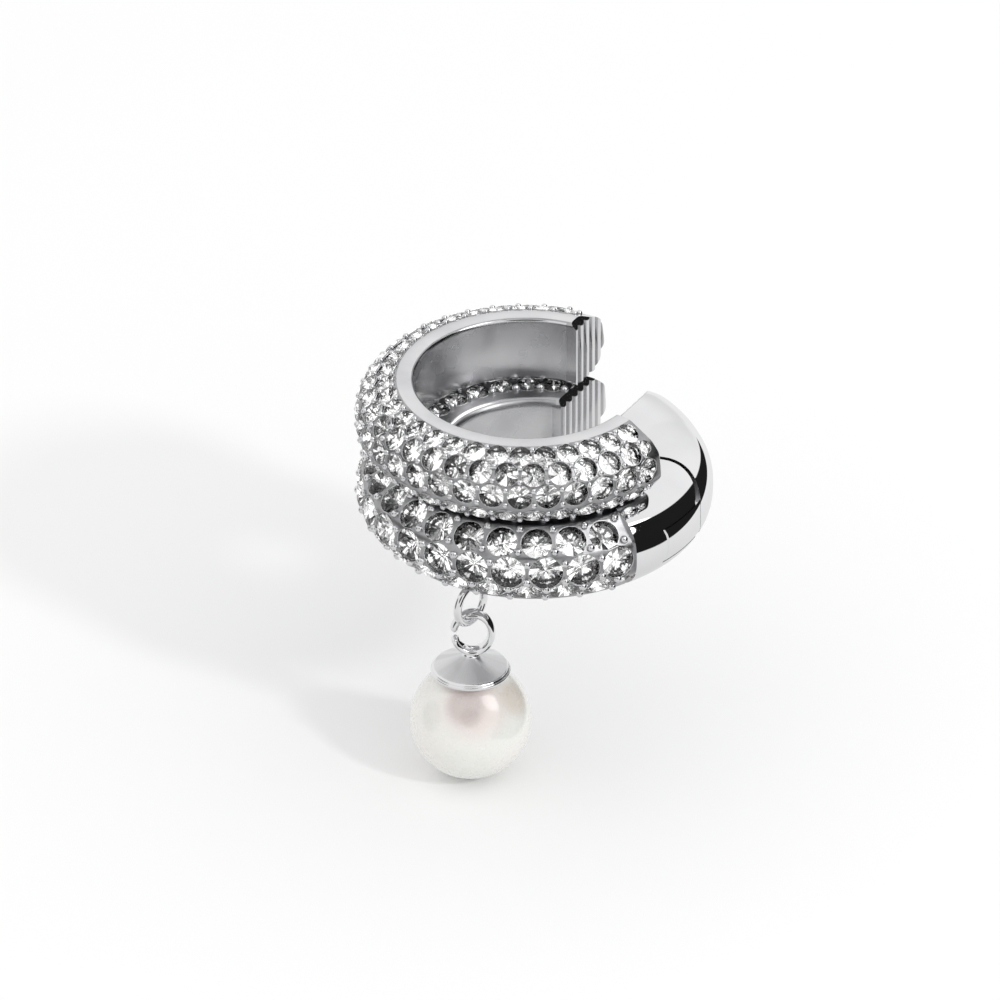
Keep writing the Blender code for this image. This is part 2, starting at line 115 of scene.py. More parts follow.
class Sheet:
    """Adds and wires the nodes of one tree."""

    def __init__(self, tree: bpy.types.NodeTree) -> None:
        """Keeps the tree."""
        self.tree = tree

    def feed(self, socket: bpy.types.NodeSocket, value: object) -> None:
        """Links a socket to another one, or sets its value.

        Args:
            socket: the input to fill.
            value: an output socket, or a plain value.
        """
        if isinstance(value, bpy.types.NodeSocket):
            self.tree.links.new(value, socket)
        else:
            socket.default_value = value

    def add(self, kind: str, inputs: dict | None = None, **settings: object) -> bpy.types.Node:
        """Adds a node.

        Args:
            kind: the node's type name.
            inputs: values or output sockets, by input name or number.
            settings: properties of the node.

        Returns:
            The new node.
        """
        node = self.tree.nodes.new(kind)
        for name, value in settings.items():
            setattr(node, name, value)
        for key, value in (inputs or {}).items():
            self.feed(node.inputs[key], value)
        return node

    def math(self, operation: str, *values: object) -> bpy.types.NodeSocket:
        """Adds a Math node.

        Args:
            operation: name of the operation.
            values: numbers or output sockets.

        Returns:
            The node's output.
        """
        return self.add("ShaderNodeMath", dict(enumerate(values)), operation=operation).outputs[0]

    def vector(self, x: object, y: object, z: object) -> bpy.types.NodeSocket:
        """Adds a Combine XYZ node for numbers or output sockets."""
        return self.add("ShaderNodeCombineXYZ", {"X": x, "Y": y, "Z": z}).outputs[0]

    def vector_math(self, operation: str, first: object, second: object) -> bpy.types.Node:
        """Adds a Vector Math node for two vectors or output sockets."""
        return self.add("ShaderNodeVectorMath", {0: first, 1: second}, operation=operation)

    def object_place(self) -> bpy.types.NodeSocket:
        """Adds the Object coordinates."""
        return self.add("ShaderNodeTexCoord").outputs["Object"]

    def noise(self, place: object, scale: object, detail: float) -> bpy.types.NodeSocket:
        """Adds a Noise Texture and gives its value."""
        inputs = {"Vector": place, "Scale": scale, "Detail": detail}
        return self.add("ShaderNodeTexNoise", inputs).outputs["Fac"]

    def bump(self, height: object, strength: float, distance: float) -> bpy.types.NodeSocket:
        """Adds a Bump node and gives its normal."""
        inputs = {"Height": height, "Strength": strength, "Distance": distance}
        return self.add("ShaderNodeBump", inputs).outputs[0]

    def ramp(self, value: object, low: float, high: float, first: float = 0.0,
             last: float = 1.0) -> bpy.types.NodeSocket:
        """Maps a stretch of a value smoothly onto another stretch.

        Args:
            value: the value to map.
            low: value that gives the first result.
            high: value that gives the last result.
            first: result at the low end and below.
            last: result at the high end and above.

        Returns:
            The mapped value.
        """
        inputs = {"Value": value, "From Min": low, "From Max": high, "To Min": first, "To Max": last}
        return self.add("ShaderNodeMapRange", inputs, interpolation_type="SMOOTHSTEP").outputs[0]

    def colours(self, factor: object, stops: tuple, constant: bool = False) -> bpy.types.NodeSocket:
        """Adds a colour ramp.

        Args:
            factor: the value that picks the colour.
            stops: places and colours, in rising order.
            constant: keeps each colour up to the next stop.

        Returns:
            The ramp's colour.
        """
        node = self.add("ShaderNodeValToRGB", {"Fac": factor})
        ramp = node.color_ramp
        ramp.interpolation = "CONSTANT" if constant else "LINEAR"
        while len(ramp.elements) < len(stops):
            ramp.elements.new(0.5)
        for element, (place, colour) in zip(ramp.elements, stops):
            element.position = place
            element.color = (*colour, 1)
        return node.outputs["Color"]


def new_group(name: str, kind: str, inputs: dict[str, tuple], outputs: dict[str, str]) -> Sheet:
    """Makes a node group with named sockets.

    Args:
        name: the group's name.
        kind: the tree's type name.
        inputs: socket type and first value, by name; the value may be None.
        outputs: socket type, by name.

    Returns:
        The sheet of the group, with its input and output nodes added.
    """
    tree = bpy.data.node_groups.new(name, kind)
    for label, (socket_type, value) in inputs.items():
        made = tree.interface.new_socket(label, in_out="INPUT", socket_type=socket_type)
        if value is not None:
            made.default_value = value
    for label, socket_type in outputs.items():
        tree.interface.new_socket(label, in_out="OUTPUT", socket_type=socket_type)
    tree.nodes.new("NodeGroupInput")
    tree.nodes.new("NodeGroupOutput")
    return Sheet(tree)


def new_material(name: str) -> tuple[bpy.types.Material, Sheet, bpy.types.NodeInputs]:
    """Makes a material with a Principled shader.

    Args:
        name: the material's name.

    Returns:
        The material, the sheet of its tree and the shader's inputs.
    """
    made = bpy.data.materials.new(name)
    made.use_nodes = True
    return made, Sheet(made.node_tree), made.node_tree.nodes["Principled BSDF"].inputs


def polish_marks() -> bpy.types.NodeTree:
    """Gives the shader group of polished metal: hazy patches and fine hairlines.

    Returns:
        The group, built once.
    """
    known = bpy.data.node_groups.get("polish_marks")
    if known:
        return known
    sheet = new_group(
        "polish_marks", "ShaderNodeTree",
        {"Scale": ("NodeSocketFloat", 400.0), "Smooth": ("NodeSocketFloat", 0.05),
         "Haze": ("NodeSocketFloat", 0.05), "Hairline": ("NodeSocketFloat", 0.3)},
        {"Roughness": "NodeSocketFloat", "Height": "NodeSocketFloat", "Tarnish": "NodeSocketFloat"},
    )
    given = sheet.tree.nodes["Group Input"].outputs
    coords = sheet.object_place()
    patches = sheet.noise(coords, given["Scale"], 3.0)
    long_grain = sheet.add(
        "ShaderNodeMapping", {"Vector": coords, "Rotation": (0.3, 0.7, 0.4), "Scale": (1, 14, 14)}
    ).outputs[0]
    lines = sheet.noise(long_grain, sheet.math("MULTIPLY", given["Scale"], 3.0), 2.0)
    haze = sheet.math("MULTIPLY", sheet.ramp(patches, 0.45, 0.75), given["Haze"])
    end = sheet.tree.nodes["Group Output"].inputs
    sheet.feed(end["Roughness"], sheet.math("ADD", given["Smooth"], haze))
    sheet.feed(end["Height"], sheet.math("MULTIPLY", lines, given["Hairline"]))
    sheet.feed(end["Tarnish"], sheet.ramp(patches, 0.3, 0.8))
    return sheet.tree


@dataclass(frozen=True)
class MetalFinish:
    """Bright plated metal with faint haze and hairlines."""

    name: str
    light: tuple[float, float, float]
    dull: tuple[float, float, float]
    smooth: float
    haze: float
    hairline: float
    scale: float = 420.0

    def material(self) -> bpy.types.Material:
        """Builds the material.

        Returns:
            Metal whose colour, roughness and bump vary a little over the surface.
        """
        made, sheet, shader = new_material(self.name)
        shader["Metallic"].default_value = 1.0
        marks = sheet.add("ShaderNodeGroup", node_tree=polish_marks())
        values = {"Scale": self.scale, "Smooth": self.smooth, "Haze": self.haze, "Hairline": self.hairline}
        for label, value in values.items():
            marks.inputs[label].default_value = value
        tint = sheet.colours(marks.outputs["Tarnish"], ((0.0, self.light), (1.0, self.dull)))
        sheet.feed(shader["Base Color"], tint)
        sheet.feed(shader["Roughness"], marks.outputs["Roughness"])
        sheet.feed(shader["Normal"], sheet.bump(marks.outputs["Height"], 0.2, 0.003 * MM))
        return made


@dataclass(frozen=True)
class CrystalFinish:
    """Clear cut glass of the stones' crowns."""

    name: str = "crystal_crown"
    tint: tuple[float, float, float] = (1.0, 1.0, 1.0)
    ior: float = 1.56

    def material(self) -> bpy.types.Material:
        """Builds the material.

        Returns:
            Clear glass with faint polishing marks.
        """
        made, sheet, shader = new_material(self.name)
        shader["Base Color"].default_value = (*self.tint, 1)
        shader["Transmission Weight"].default_value = 1.0
        shader["IOR"].default_value = self.ior
        coords = sheet.object_place()
        wipes = sheet.noise(coords, 900.0, 2.0)
        sheet.feed(shader["Roughness"], sheet.ramp(wipes, 0.5, 0.8, 0.0, 0.03))
        return made


@dataclass(frozen=True)
class FoilFinish:
    """Mirror backing of the stones' pavilions, with painted glints and dark facets: each facet has its own
    brightness.
    """

    name: str = "crystal_foil_painted_glints"
    painted_facet_light: tuple[tuple[float, float], ...] = ((0.0, 0.03), (0.11, 0.28), (0.20, 0.62), (0.32, 1.0))
    smooth: float = 0.06
    facet_step: float = 61.7
    stone_step: float = 937.3

    def material(self) -> bpy.types.Material:
        """Builds the material.

        Returns:
            Mirror metal whose painted brightness, standing in for glints and dark facets, changes from
            facet to facet and from stone to stone.
        """
        made, sheet, shader = new_material(self.name)
        shader["Metallic"].default_value = 1.0
        facet = sheet.add("ShaderNodeAttribute", attribute_name="facet").outputs["Fac"]
        stone = sheet.add("ShaderNodeAttribute", attribute_name="stone").outputs["Fac"]
        by_facet = sheet.math("MULTIPLY", facet, self.facet_step)
        mixed = sheet.math("ADD", by_facet, sheet.math("MULTIPLY", stone, self.stone_step))
        chance = sheet.add("ShaderNodeTexWhiteNoise", {"W": mixed}, noise_dimensions="1D").outputs["Value"]
        # Painted glints and shade: each facet's colour, from near black to white, stands in for the light
        # it would catch.
        stops = tuple((place, (shade, shade, shade)) for place, shade in self.painted_facet_light)
        sheet.feed(shader["Base Color"], sheet.colours(chance, stops, constant=True))
        sheet.feed(shader["Roughness"], sheet.ramp(chance, 0.0, 1.0, self.smooth, self.smooth * 2))
        return made


@dataclass(frozen=True)
class OvertoneAndReflection:
    """Rose or beige tint in the nacre, placed and darkened as a painted reflection."""

    place: Vector
    inner: float
    outer: float
    colour: tuple[float, float, float]


@dataclass(frozen=True)
class PearlFinish:
    """Nacre: ivory with rose and beige tints that are painted reflections, under a soft lustre."""

    name: str = "pearl_nacre"
    ivory: tuple[float, float, float] = (0.84, 0.82, 0.78)
    cool: tuple[float, float, float] = (0.79, 0.80, 0.76)
    overtones_and_reflections: tuple[OvertoneAndReflection, ...] = (
        OvertoneAndReflection(Vector((-6.60, -13.70, -7.85)) * MM, 0.90 * MM, 2.2 * MM, (0.74, 0.66, 0.63)),
        OvertoneAndReflection(Vector((-7.03, -13.84, -7.73)) * MM, 0.55 * MM, 1.3 * MM, (0.56, 0.49, 0.47)),
        OvertoneAndReflection(Vector((-4.62, -12.67, -7.99)) * MM, 0.45 * MM, 1.3 * MM, (0.66, 0.60, 0.53)),
    )

    def material(self) -> bpy.types.Material:
        """Builds the material.

        Returns:
            Soft coated nacre whose tint drifts over the pearl, with painted reflections.
        """
        made, sheet, shader = new_material(self.name)
        coords = sheet.object_place()
        drift = sheet.add(
            "ShaderNodeTexNoise", {"Vector": coords, "Scale": 230.0, "Detail": 2.0, "Distortion": 0.6}
        ).outputs["Fac"]
        body = sheet.colours(drift, ((0.35, self.cool), (0.60, self.ivory)))
        # Painted reflections: rose and beige patches, darker where the darker parts of the studio would
        # mirror.
        for tint_and_reflection in self.overtones_and_reflections:
            apart = sheet.vector_math("DISTANCE", coords, tint_and_reflection.place).outputs["Value"]
            near = sheet.ramp(apart, tint_and_reflection.inner, tint_and_reflection.outer, 0.9, 0.0)
            uneven = sheet.math("MULTIPLY", near, sheet.ramp(drift, 0.2, 0.6, 0.8, 1.0))
            mix = sheet.add("ShaderNodeMix", {"Factor": uneven}, data_type="RGBA")
            colours = [socket for socket in mix.inputs if socket.type == "RGBA"]
            sheet.feed(colours[0], body)
            sheet.feed(colours[1], (*tint_and_reflection.colour, 1))
            body = [socket for socket in mix.outputs if socket.type == "RGBA"][0]
        sheet.feed(shader["Base Color"], body)
        layers = sheet.noise(coords, 2600.0, 4.0)
        sheet.feed(shader["Roughness"], sheet.ramp(layers, 0.3, 0.7, 0.24, 0.34))
        sheet.feed(shader["Normal"], sheet.bump(drift, 0.15, 0.03 * MM))
        depths = {
            "IOR": 1.55, "Subsurface Weight": 0.12, "Subsurface Radius": (0.0012, 0.0010, 0.0009),
            "Subsurface Scale": 0.5, "Coat Weight": 0.8, "Coat Roughness": 0.12, "Coat IOR": 1.7,
        }
        for label, value in depths.items():
            shader[label].default_value = value
        return made


@dataclass(frozen=True)
class SpunFinish:
    """Satin metal with fine streaks that run out from an upright axis."""

    name: str = "spun_metal"
    axis: Vector = DROP_AXIS
    light: tuple[float, float, float] = (0.88, 0.88, 0.89)
    dark: tuple[float, float, float] = (0.82, 0.82, 0.83)

    def material(self) -> bpy.types.Material:
        """Builds the material.

        Returns:
            Metal whose shade and roughness change with the angle round the axis.
        """
        made, sheet, shader = new_material(self.name)
        shader["Metallic"].default_value = 1.0
        coords = sheet.object_place()
        centred = sheet.vector_math("SUBTRACT", coords, self.axis).outputs[0]
        parts = sheet.add("ShaderNodeSeparateXYZ", {0: centred}).outputs
        turn = sheet.math("ARCTAN2", parts["Y"], parts["X"])
        round_axis = sheet.vector(sheet.math("COSINE", turn), sheet.math("SINE", turn), 0.0)
        broad = sheet.noise(round_axis, 2.6, 2.0)
        fine = sheet.noise(round_axis, 14.0, 3.0)
        mixed = sheet.math("MULTIPLY_ADD", fine, 0.35, sheet.math("MULTIPLY", broad, 0.65))
        sheet.feed(shader["Base Color"], sheet.colours(mixed, ((0.40, self.dark), (0.58, self.light))))
        sheet.feed(shader["Roughness"], sheet.ramp(mixed, 0.35, 0.6, 0.42, 0.34))
        sheet.feed(shader["Normal"], sheet.bump(fine, 0.25, 0.004 * MM))
        return made


@dataclass(frozen=True)
class FloorFinish:
    """Plain pale floor."""

    name: str = "pale_floor"
    colour: tuple[float, float, float] = (0.93, 0.93, 0.93)
    grain_share: float = 0.995

    def material(self) -> bpy.types.Material:
        """Builds the material.

        Returns:
            Matt pale paint with a trace of grain.
        """
        made, sheet, shader = new_material(self.name)
        coords = sheet.object_place()
        darker = tuple(channel * self.grain_share for channel in self.colour)
        stops = ((0.3, self.colour), (0.7, darker))
        sheet.feed(shader["Base Color"], sheet.colours(sheet.noise(coords, 40.0, 2.0), stops))
        shader["Roughness"].default_value = 1.0
        shader["Specular IOR Level"].default_value = 0.0
        return made


@dataclass(frozen=True)
class Finishes:
    """Every material of the cuff, built once."""

    setting: bpy.types.Material
    wall: bpy.types.Material
    collar: bpy.types.Material
    recess: bpy.types.Material
    polished: bpy.types.Material
    spun: bpy.types.Material
    crown: bpy.types.Material
    foil: bpy.types.Material
    pearl: bpy.types.Material

    @classmethod
    def build(cls) -> "Finishes":
        """Builds all materials of the cuff.

        Returns:
            The materials.
        """
        mirror, silver = (0.90, 0.90, 0.91), (0.86, 0.86, 0.87)
        bright, steel = (0.84, 0.84, 0.85), (0.72, 0.72, 0.74)
        pewter, slate = (0.66, 0.66, 0.67), (0.58, 0.58, 0.60)
        ash, grey, shadow = (0.55, 0.55, 0.56), (0.48, 0.48, 0.49), (0.30, 0.30, 0.31)
        return cls(
            setting=MetalFinish("setting_metal", bright, steel, 0.10, 0.06, 0.8).material(),
            # Partly painted shade: the inner wall is rougher, and its darker grey stands in for the shade
            # inside the band.
            wall=MetalFinish("wall_painted_shade_metal", pewter, slate, 0.24, 0.16, 0.6).material(),
            # Painted shade: this greyer metal on the collars, the rib grooves and the arm tip's chamfer
            # stands in for shade.
            collar=MetalFinish("painted_shade_collar_metal", ash, grey, 0.16, 0.10, 1.0).material(),
            # Painted shade: this darker grey on the web between the stones and in the hinge's seams stands
            # in for shade.
            recess=MetalFinish("recess_metal", grey, shadow, 0.30, 0.12, 1.0, scale=900.0).material(),
            polished=MetalFinish("mirror_metal", mirror, silver, 0.025, 0.03, 0.35).material(),
            spun=SpunFinish().material(),
            crown=CrystalFinish().material(),
            foil=FoilFinish().material(),
            pearl=PearlFinish().material(),
        )


def mesh_object(name: str, bm: bmesh.types.BMesh) -> bpy.types.Object:
    """Turns a bmesh into a linked object.

    Args:
        name: name of the object and its mesh.
        bm: the shape, which is used up.

    Returns:
        The new object, at the origin.
    """
    mesh = bpy.data.meshes.new(name)
    bm.to_mesh(mesh)
    bm.free()
    obj = bpy.data.objects.new(name, mesh)
    bpy.context.scene.collection.objects.link(obj)
    return obj


def pattern_object(name: str, bm: bmesh.types.BMesh) -> bpy.types.Object:
    """Turns a bmesh into a hidden object that rows repeat."""
    pattern = mesh_object(name, bm)
    pattern.hide_render = True
    return pattern


def combined(first: bmesh.types.BMesh, second: bmesh.types.BMesh,
             operation: Operation) -> bmesh.types.BMesh:
    """Combines two closed meshes by an exact Boolean.

    Args:
        first: the shape that is worked on; it is used up.
        second: the other shape; it is used up.
        operation: how they are combined.

    Returns:
        The result.
    """
    for shape in (first, second):
        bmesh.ops.recalc_face_normals(shape, faces=shape.faces)
    target = mesh_object("target", first)
    tool = mesh_object("tool", second)
    modifier = target.modifiers.new("combine", "BOOLEAN")
    modifier.operation = operation.value
    modifier.solver = "EXACT"
    modifier.object = tool
    result = bmesh.new()
    depsgraph = bpy.context.evaluated_depsgraph_get()
    made = bpy.data.meshes.new_from_object(target.evaluated_get(depsgraph))
    result.from_mesh(made)
    bpy.data.meshes.remove(made)
    for obj in (target, tool):
        bpy.data.meshes.remove(obj.data)
    if not result.faces:
        raise ValueError("a Boolean left nothing, so its shapes overlap themselves")
    return result


def joined(*shapes: bmesh.types.BMesh) -> bmesh.types.BMesh:
    """Puts several closed shapes in one bmesh.

    Args:
        shapes: the shapes; they are used up.

    Returns:
        One bmesh with all of them.
    """
    result = bmesh.new()
    for shape in shapes:
        bmesh.ops.recalc_face_normals(shape, faces=shape.faces)
        mesh = bpy.data.meshes.new("part")
        shape.to_mesh(mesh)
        shape.free()
        result.from_mesh(mesh)
        bpy.data.meshes.remove(mesh)
    return result


def swept(outline: list[Vector], axis: Vector, angles: list[float],
          shares: list[float] | None = None) -> bmesh.types.BMesh:
    """Sweeps a closed outline round a vertical axis.

    Args:
        outline: section points, as radius and height.
        axis: a point of the axis.
        angles: polar angle of each ring of points.
        shares: size of each ring about its middle; all full if it is left out.

    Returns:
        The closed solid.
    """
    bm = bmesh.new()
    middle = sum(outline, Vector((0, 0))) / len(outline)
    rings = []
    for angle, share in zip(angles, shares or [1.0] * len(angles)):
        out = direction(angle)
        points = [middle + share * (point - middle) for point in outline]
        rings.append([bm.verts.new(axis + point.x * out + point.y * UP) for point in points])
    for first, second in zip(rings, rings[1:]):
        for index in range(len(outline)):
            after = (index + 1) % len(outline)
            bm.faces.new((first[index], first[after], second[after], second[index]))
    bm.faces.new(rings[0])
    bm.faces.new(rings[-1])
    return bm


def turned(profile: list[Vector], centre: Vector, sides: int) -> bmesh.types.BMesh:
    """Turns a profile about a vertical axis; its first and last points lie on the axis.

    Args:
        profile: points as radius and height, from the top down.
        centre: a point of the axis; its height is added to the profile's.
        sides: number of sides.

    Returns:
        The closed solid.
    """
    bm = bmesh.new()
    top, bottom = (bm.verts.new(centre + point.y * UP) for point in (profile[0], profile[-1]))
    rings = []
    for point in profile[1:-1]:
        rings.append([
            bm.verts.new(centre + point.x * direction(360 * side / sides) + point.y * UP)
            for side in range(sides)
        ])
    for side in range(sides):
        after = (side + 1) % sides
        bm.faces.new((top, rings[0][side], rings[0][after]))
        bm.faces.new((bottom, rings[-1][after], rings[-1][side]))
        for first, second in zip(rings, rings[1:]):
            bm.faces.new((first[side], second[side], second[after], first[after]))
    return bm


def prism(points: list[Vector], bottom: float, top: float) -> bmesh.types.BMesh:
    """Raises a flat outline into a closed block.

    Args:
        points: horizontal outline.
        bottom: height of the lower face.
        top: height of the upper face.

    Returns:
        The block.
    """
    bm = bmesh.new()
    low, high = ([bm.verts.new((point.x, point.y, height)) for point in points] for height in (bottom, top))
    bm.faces.new(low)
    bm.faces.new(high)
    for index in range(len(points)):
        after = (index + 1) % len(points)
        bm.faces.new((low[index], low[after], high[after], high[index]))
    return bm


def post(centre: Vector, radius: float, bottom: float, top: float, sides: int = 96) -> bmesh.types.BMesh:
    """Makes a closed upright cylinder."""
    ring = [centre + radius * direction(360 * side / sides) for side in range(sides)]
    return prism(ring, bottom, top)


def tube(points: list[Vector], across: Vector, radius: float, cyclic: bool, wide: float = 1.0,
         sides: int = 20) -> bmesh.types.BMesh:
    """Makes a round wire along a flat path, with domed ends if it is open.

    Args:
        points: the path.
        across: unit vector square to the path's plane.
        radius: radius of the wire.
        cyclic: joins the last point to the first.
        wide: width across the path's plane, as a share of the thickness in it.
        sides: number of sides of the wire.

    Returns:
        The closed wire.
    """
    count = len(points)
    stations = []
    for index, point in enumerate(points):
        before = points[index - 1] if cyclic or index else point
        after = points[(index + 1) % count] if cyclic or index < count - 1 else point
        stations.append((point, (after - before).normalized(), 1.0))
    if not cyclic:
        dome = [(math.sin(math.radians(turn)), math.cos(math.radians(turn))) for turn in (30, 58, 80)]
        start, along = stations[0][0], stations[0][1]
        stations[0:0] = [(start - radius * reach * along, along, share) for reach, share in dome[::-1]]
        end, along = stations[-1][0], stations[-1][1]
        stations += [(end + radius * reach * along, along, share) for reach, share in dome]
    bm = bmesh.new()
    rings = []
    for point, along, share in stations:
        side = across.cross(along)
        ring = []
        for step in range(sides):
            turn = 2 * math.pi * step / sides
            reach = wide * math.cos(turn) * across + math.sin(turn) * side
            ring.append(bm.verts.new(point + radius * share * reach))
        rings.append(ring)
    pairs = list(zip(rings, rings[1:])) + ([(rings[-1], rings[0])] if cyclic else [])
    for first, second in pairs:
        for step in range(sides):
            after = (step + 1) % sides
            bm.faces.new((first[step], first[after], second[after], second[step]))
    if not cyclic:
        bm.faces.new(rings[0])
        bm.faces.new(rings[-1])
    return bm


def softened(corners: list[tuple[Vector, float]], steps: int = 4) -> list[Vector]:
    """Rounds the corners of a section outline.

    Args:
        corners: each corner and the length its curve takes from both sides.
        steps: points of each curve, less one.

    Returns:
        The rounded outline.
    """
    outline = []
    for index, (corner, reach) in enumerate(corners):
        before = corners[index - 1][0] - corner
        after = corners[(index + 1) % len(corners)][0] - corner
        start = corner + min(reach, 0.45 * before.length) * before.normalized()
        end = corner + min(reach, 0.45 * after.length) * after.normalized()
        for step in range(steps + 1):
            share = step / steps
            outline.append((1 - share) ** 2 * start + 2 * share * (1 - share) * corner + share ** 2 * end)
    return outline


@dataclass(frozen=True)
class RibbedFace:
    """Cutter for an end face with upright round ribs."""

    centre: Vector
    towards_polar: float
    half_width: float = 3.4 * MM
    pitch: float = 0.57 * MM
    depth: float = 0.12 * MM
    reach: float = 2.6 * MM
    arc_steps: int = 8

    def cutter(self, bottom: float, top: float) -> bmesh.types.BMesh:
        """Builds the block that leaves the ribs.

        Args:
            bottom: height where it starts.
            top: height where it ends.

        Returns:
            The closed cutter.
        """
        out = direction(self.towards_polar)
        along = direction(self.towards_polar + 90)
        count = math.ceil(self.half_width / self.pitch)
        edge = []
        for rib in range(-count, count):
            for step in range(self.arc_steps):
                share = step / self.arc_steps
                depth = self.depth * (1 - math.sin(math.pi * share))
                edge.append(self.centre - depth * out + (rib + share) * self.pitch * along)
        return prism(edge + [edge[-1] + self.reach * out, edge[0] + self.reach * out], bottom, top)

    def chamfer(self, top: float, width: float) -> bmesh.types.BMesh:
        """Builds the block that takes the top edge off the face, at 45 degrees.

        Args:
            top: height of the edge.
            width: how far the chamfer goes down the face.

        Returns:
            The closed cutter.
        """
        out = direction(self.towards_polar)
        along = direction(self.towards_polar + 90)
        normal = (out + UP).normalized()
        side = 2 * self.half_width
        centre = self.centre + top * UP + (side / 2 - width / math.sqrt(2)) * normal
        facing = Matrix((normal, along, normal.cross(along))).transposed().to_4x4()
        bm = bmesh.new()
        bmesh.ops.create_cube(bm, size=side, matrix=Matrix.Translation(centre) @ facing)
        return bm


@dataclass(frozen=True)
class CutStone:
    """Brilliant-cut stone of unit girdle radius, with its girdle at height 0."""

    table_share: float = 0.58
    star_share: float = 0.79
    crown: float = 0.26
    pavilion: float = 0.72
    lower_share: float = 0.26
    facet_step: float = 0.618034

    def shape(self) -> bpy.types.Object:
        """Builds the stone that the rows repeat.

        Returns:
            A hidden object with a face attribute for each facet and one for the backing.
        """
        bm = bmesh.new()
        facet = bm.faces.layers.float.new("facet")
        back = bm.faces.layers.bool.new("back")

        def ring(radius: float, height: float, turn: float, count: int = 8) -> list[bmesh.types.BMVert]:
            """Makes one ring of corners."""
            return [
                bm.verts.new(radius * direction(turn + 360 * index / count) + height * UP)
                for index in range(count)
            ]

        half = math.cos(math.radians(22.5))
        star_height = self.crown * (1 - self.star_share * half) / (1 - self.table_share)
        lower_height = -self.pavilion * (1 - self.lower_share * half)
        table = ring(self.table_share, self.crown, 0)
        star = ring(self.star_share, star_height, 22.5)
        girdle = ring(1.0, 0.0, 0, 16)
        lower = ring(self.lower_share, lower_height, 22.5)
        culet = bm.verts.new((0, 0, -self.pavilion))
        crown_faces = [bm.faces.new(table)]
        back_faces = []
        for index in range(8):
            after = (index + 1) % 8
            corner, middle, following = girdle[2 * index], girdle[2 * index + 1], girdle[2 * after]
            crown_faces += [
                bm.faces.new((table[index], star[index], table[after])),
                bm.faces.new((table[index], star[index - 1], corner, star[index])),
                bm.faces.new((star[index], corner, middle)),
                bm.faces.new((star[index], middle, following)),
            ]
            back_faces += [
                bm.faces.new((culet, lower[index - 1], corner, lower[index])),
                bm.faces.new((lower[index], corner, middle)),
                bm.faces.new((lower[index], middle, following)),
            ]
        for number, face in enumerate(crown_faces + back_faces):
            face[facet] = (number * self.facet_step) % 1.0
            face[back] = number >= len(crown_faces)
            face.smooth = False
        bmesh.ops.recalc_face_normals(bm, faces=bm.faces)
        return pattern_object("stone_shape", bm)


@dataclass(frozen=True)
class PrickBead:
    """Small raised bead that holds the stones, of unit radius."""

    rings: int = 6
    sides: int = 8
    flat: float = 0.9

    def shape(self) -> bpy.types.Object:
        """Builds the bead that the rows repeat.

        Returns:
            A hidden object.
        """
        bm = bmesh.new()
        squash = Matrix.Diagonal((1, 1, self.flat, 1))
        bmesh.ops.create_uvsphere(bm, u_segments=self.sides, v_segments=self.rings, radius=1, matrix=squash)
        for face in bm.faces:
            face.smooth = True
        return pattern_object("bead_shape", bm)


@dataclass(frozen=True)
class SeatCollar:
    """Thin rim of metal round a stone, of unit radius."""

    wire: float = 0.075
    sides: int = 16

    def shape(self) -> bpy.types.Object:
        """Builds the rim that the rows repeat.

        Returns:
            A hidden object.
        """
        section = ((1 + self.wire, -self.wire), (1, self.wire), (1 - self.wire, -self.wire))
        bm = bmesh.new()
        rings = []
        for side in range(self.sides):
            out = direction(360 * side / self.sides)
            rings.append([bm.verts.new(reach * out + height * UP) for reach, height in section])
        for index, ring in enumerate(rings):
            following = rings[(index + 1) % self.sides]
            for corner in range(len(section)):
                after = (corner + 1) % len(section)
                face = bm.faces.new((ring[corner], ring[after], following[after], following[corner]))
                face.smooth = True
        bmesh.ops.recalc_face_normals(bm, faces=bm.faces)
        return pattern_object("collar_shape", bm)


@dataclass(frozen=True)
class Row:
    """One row of set pieces round a band; angles in degrees."""

    radius: float
    height: float
    tilt: float
    start: float
    pitch: float
    count: int
    size: float
    spin: float = 0.0
    wobble: float = 0.0
    seed: int = 0


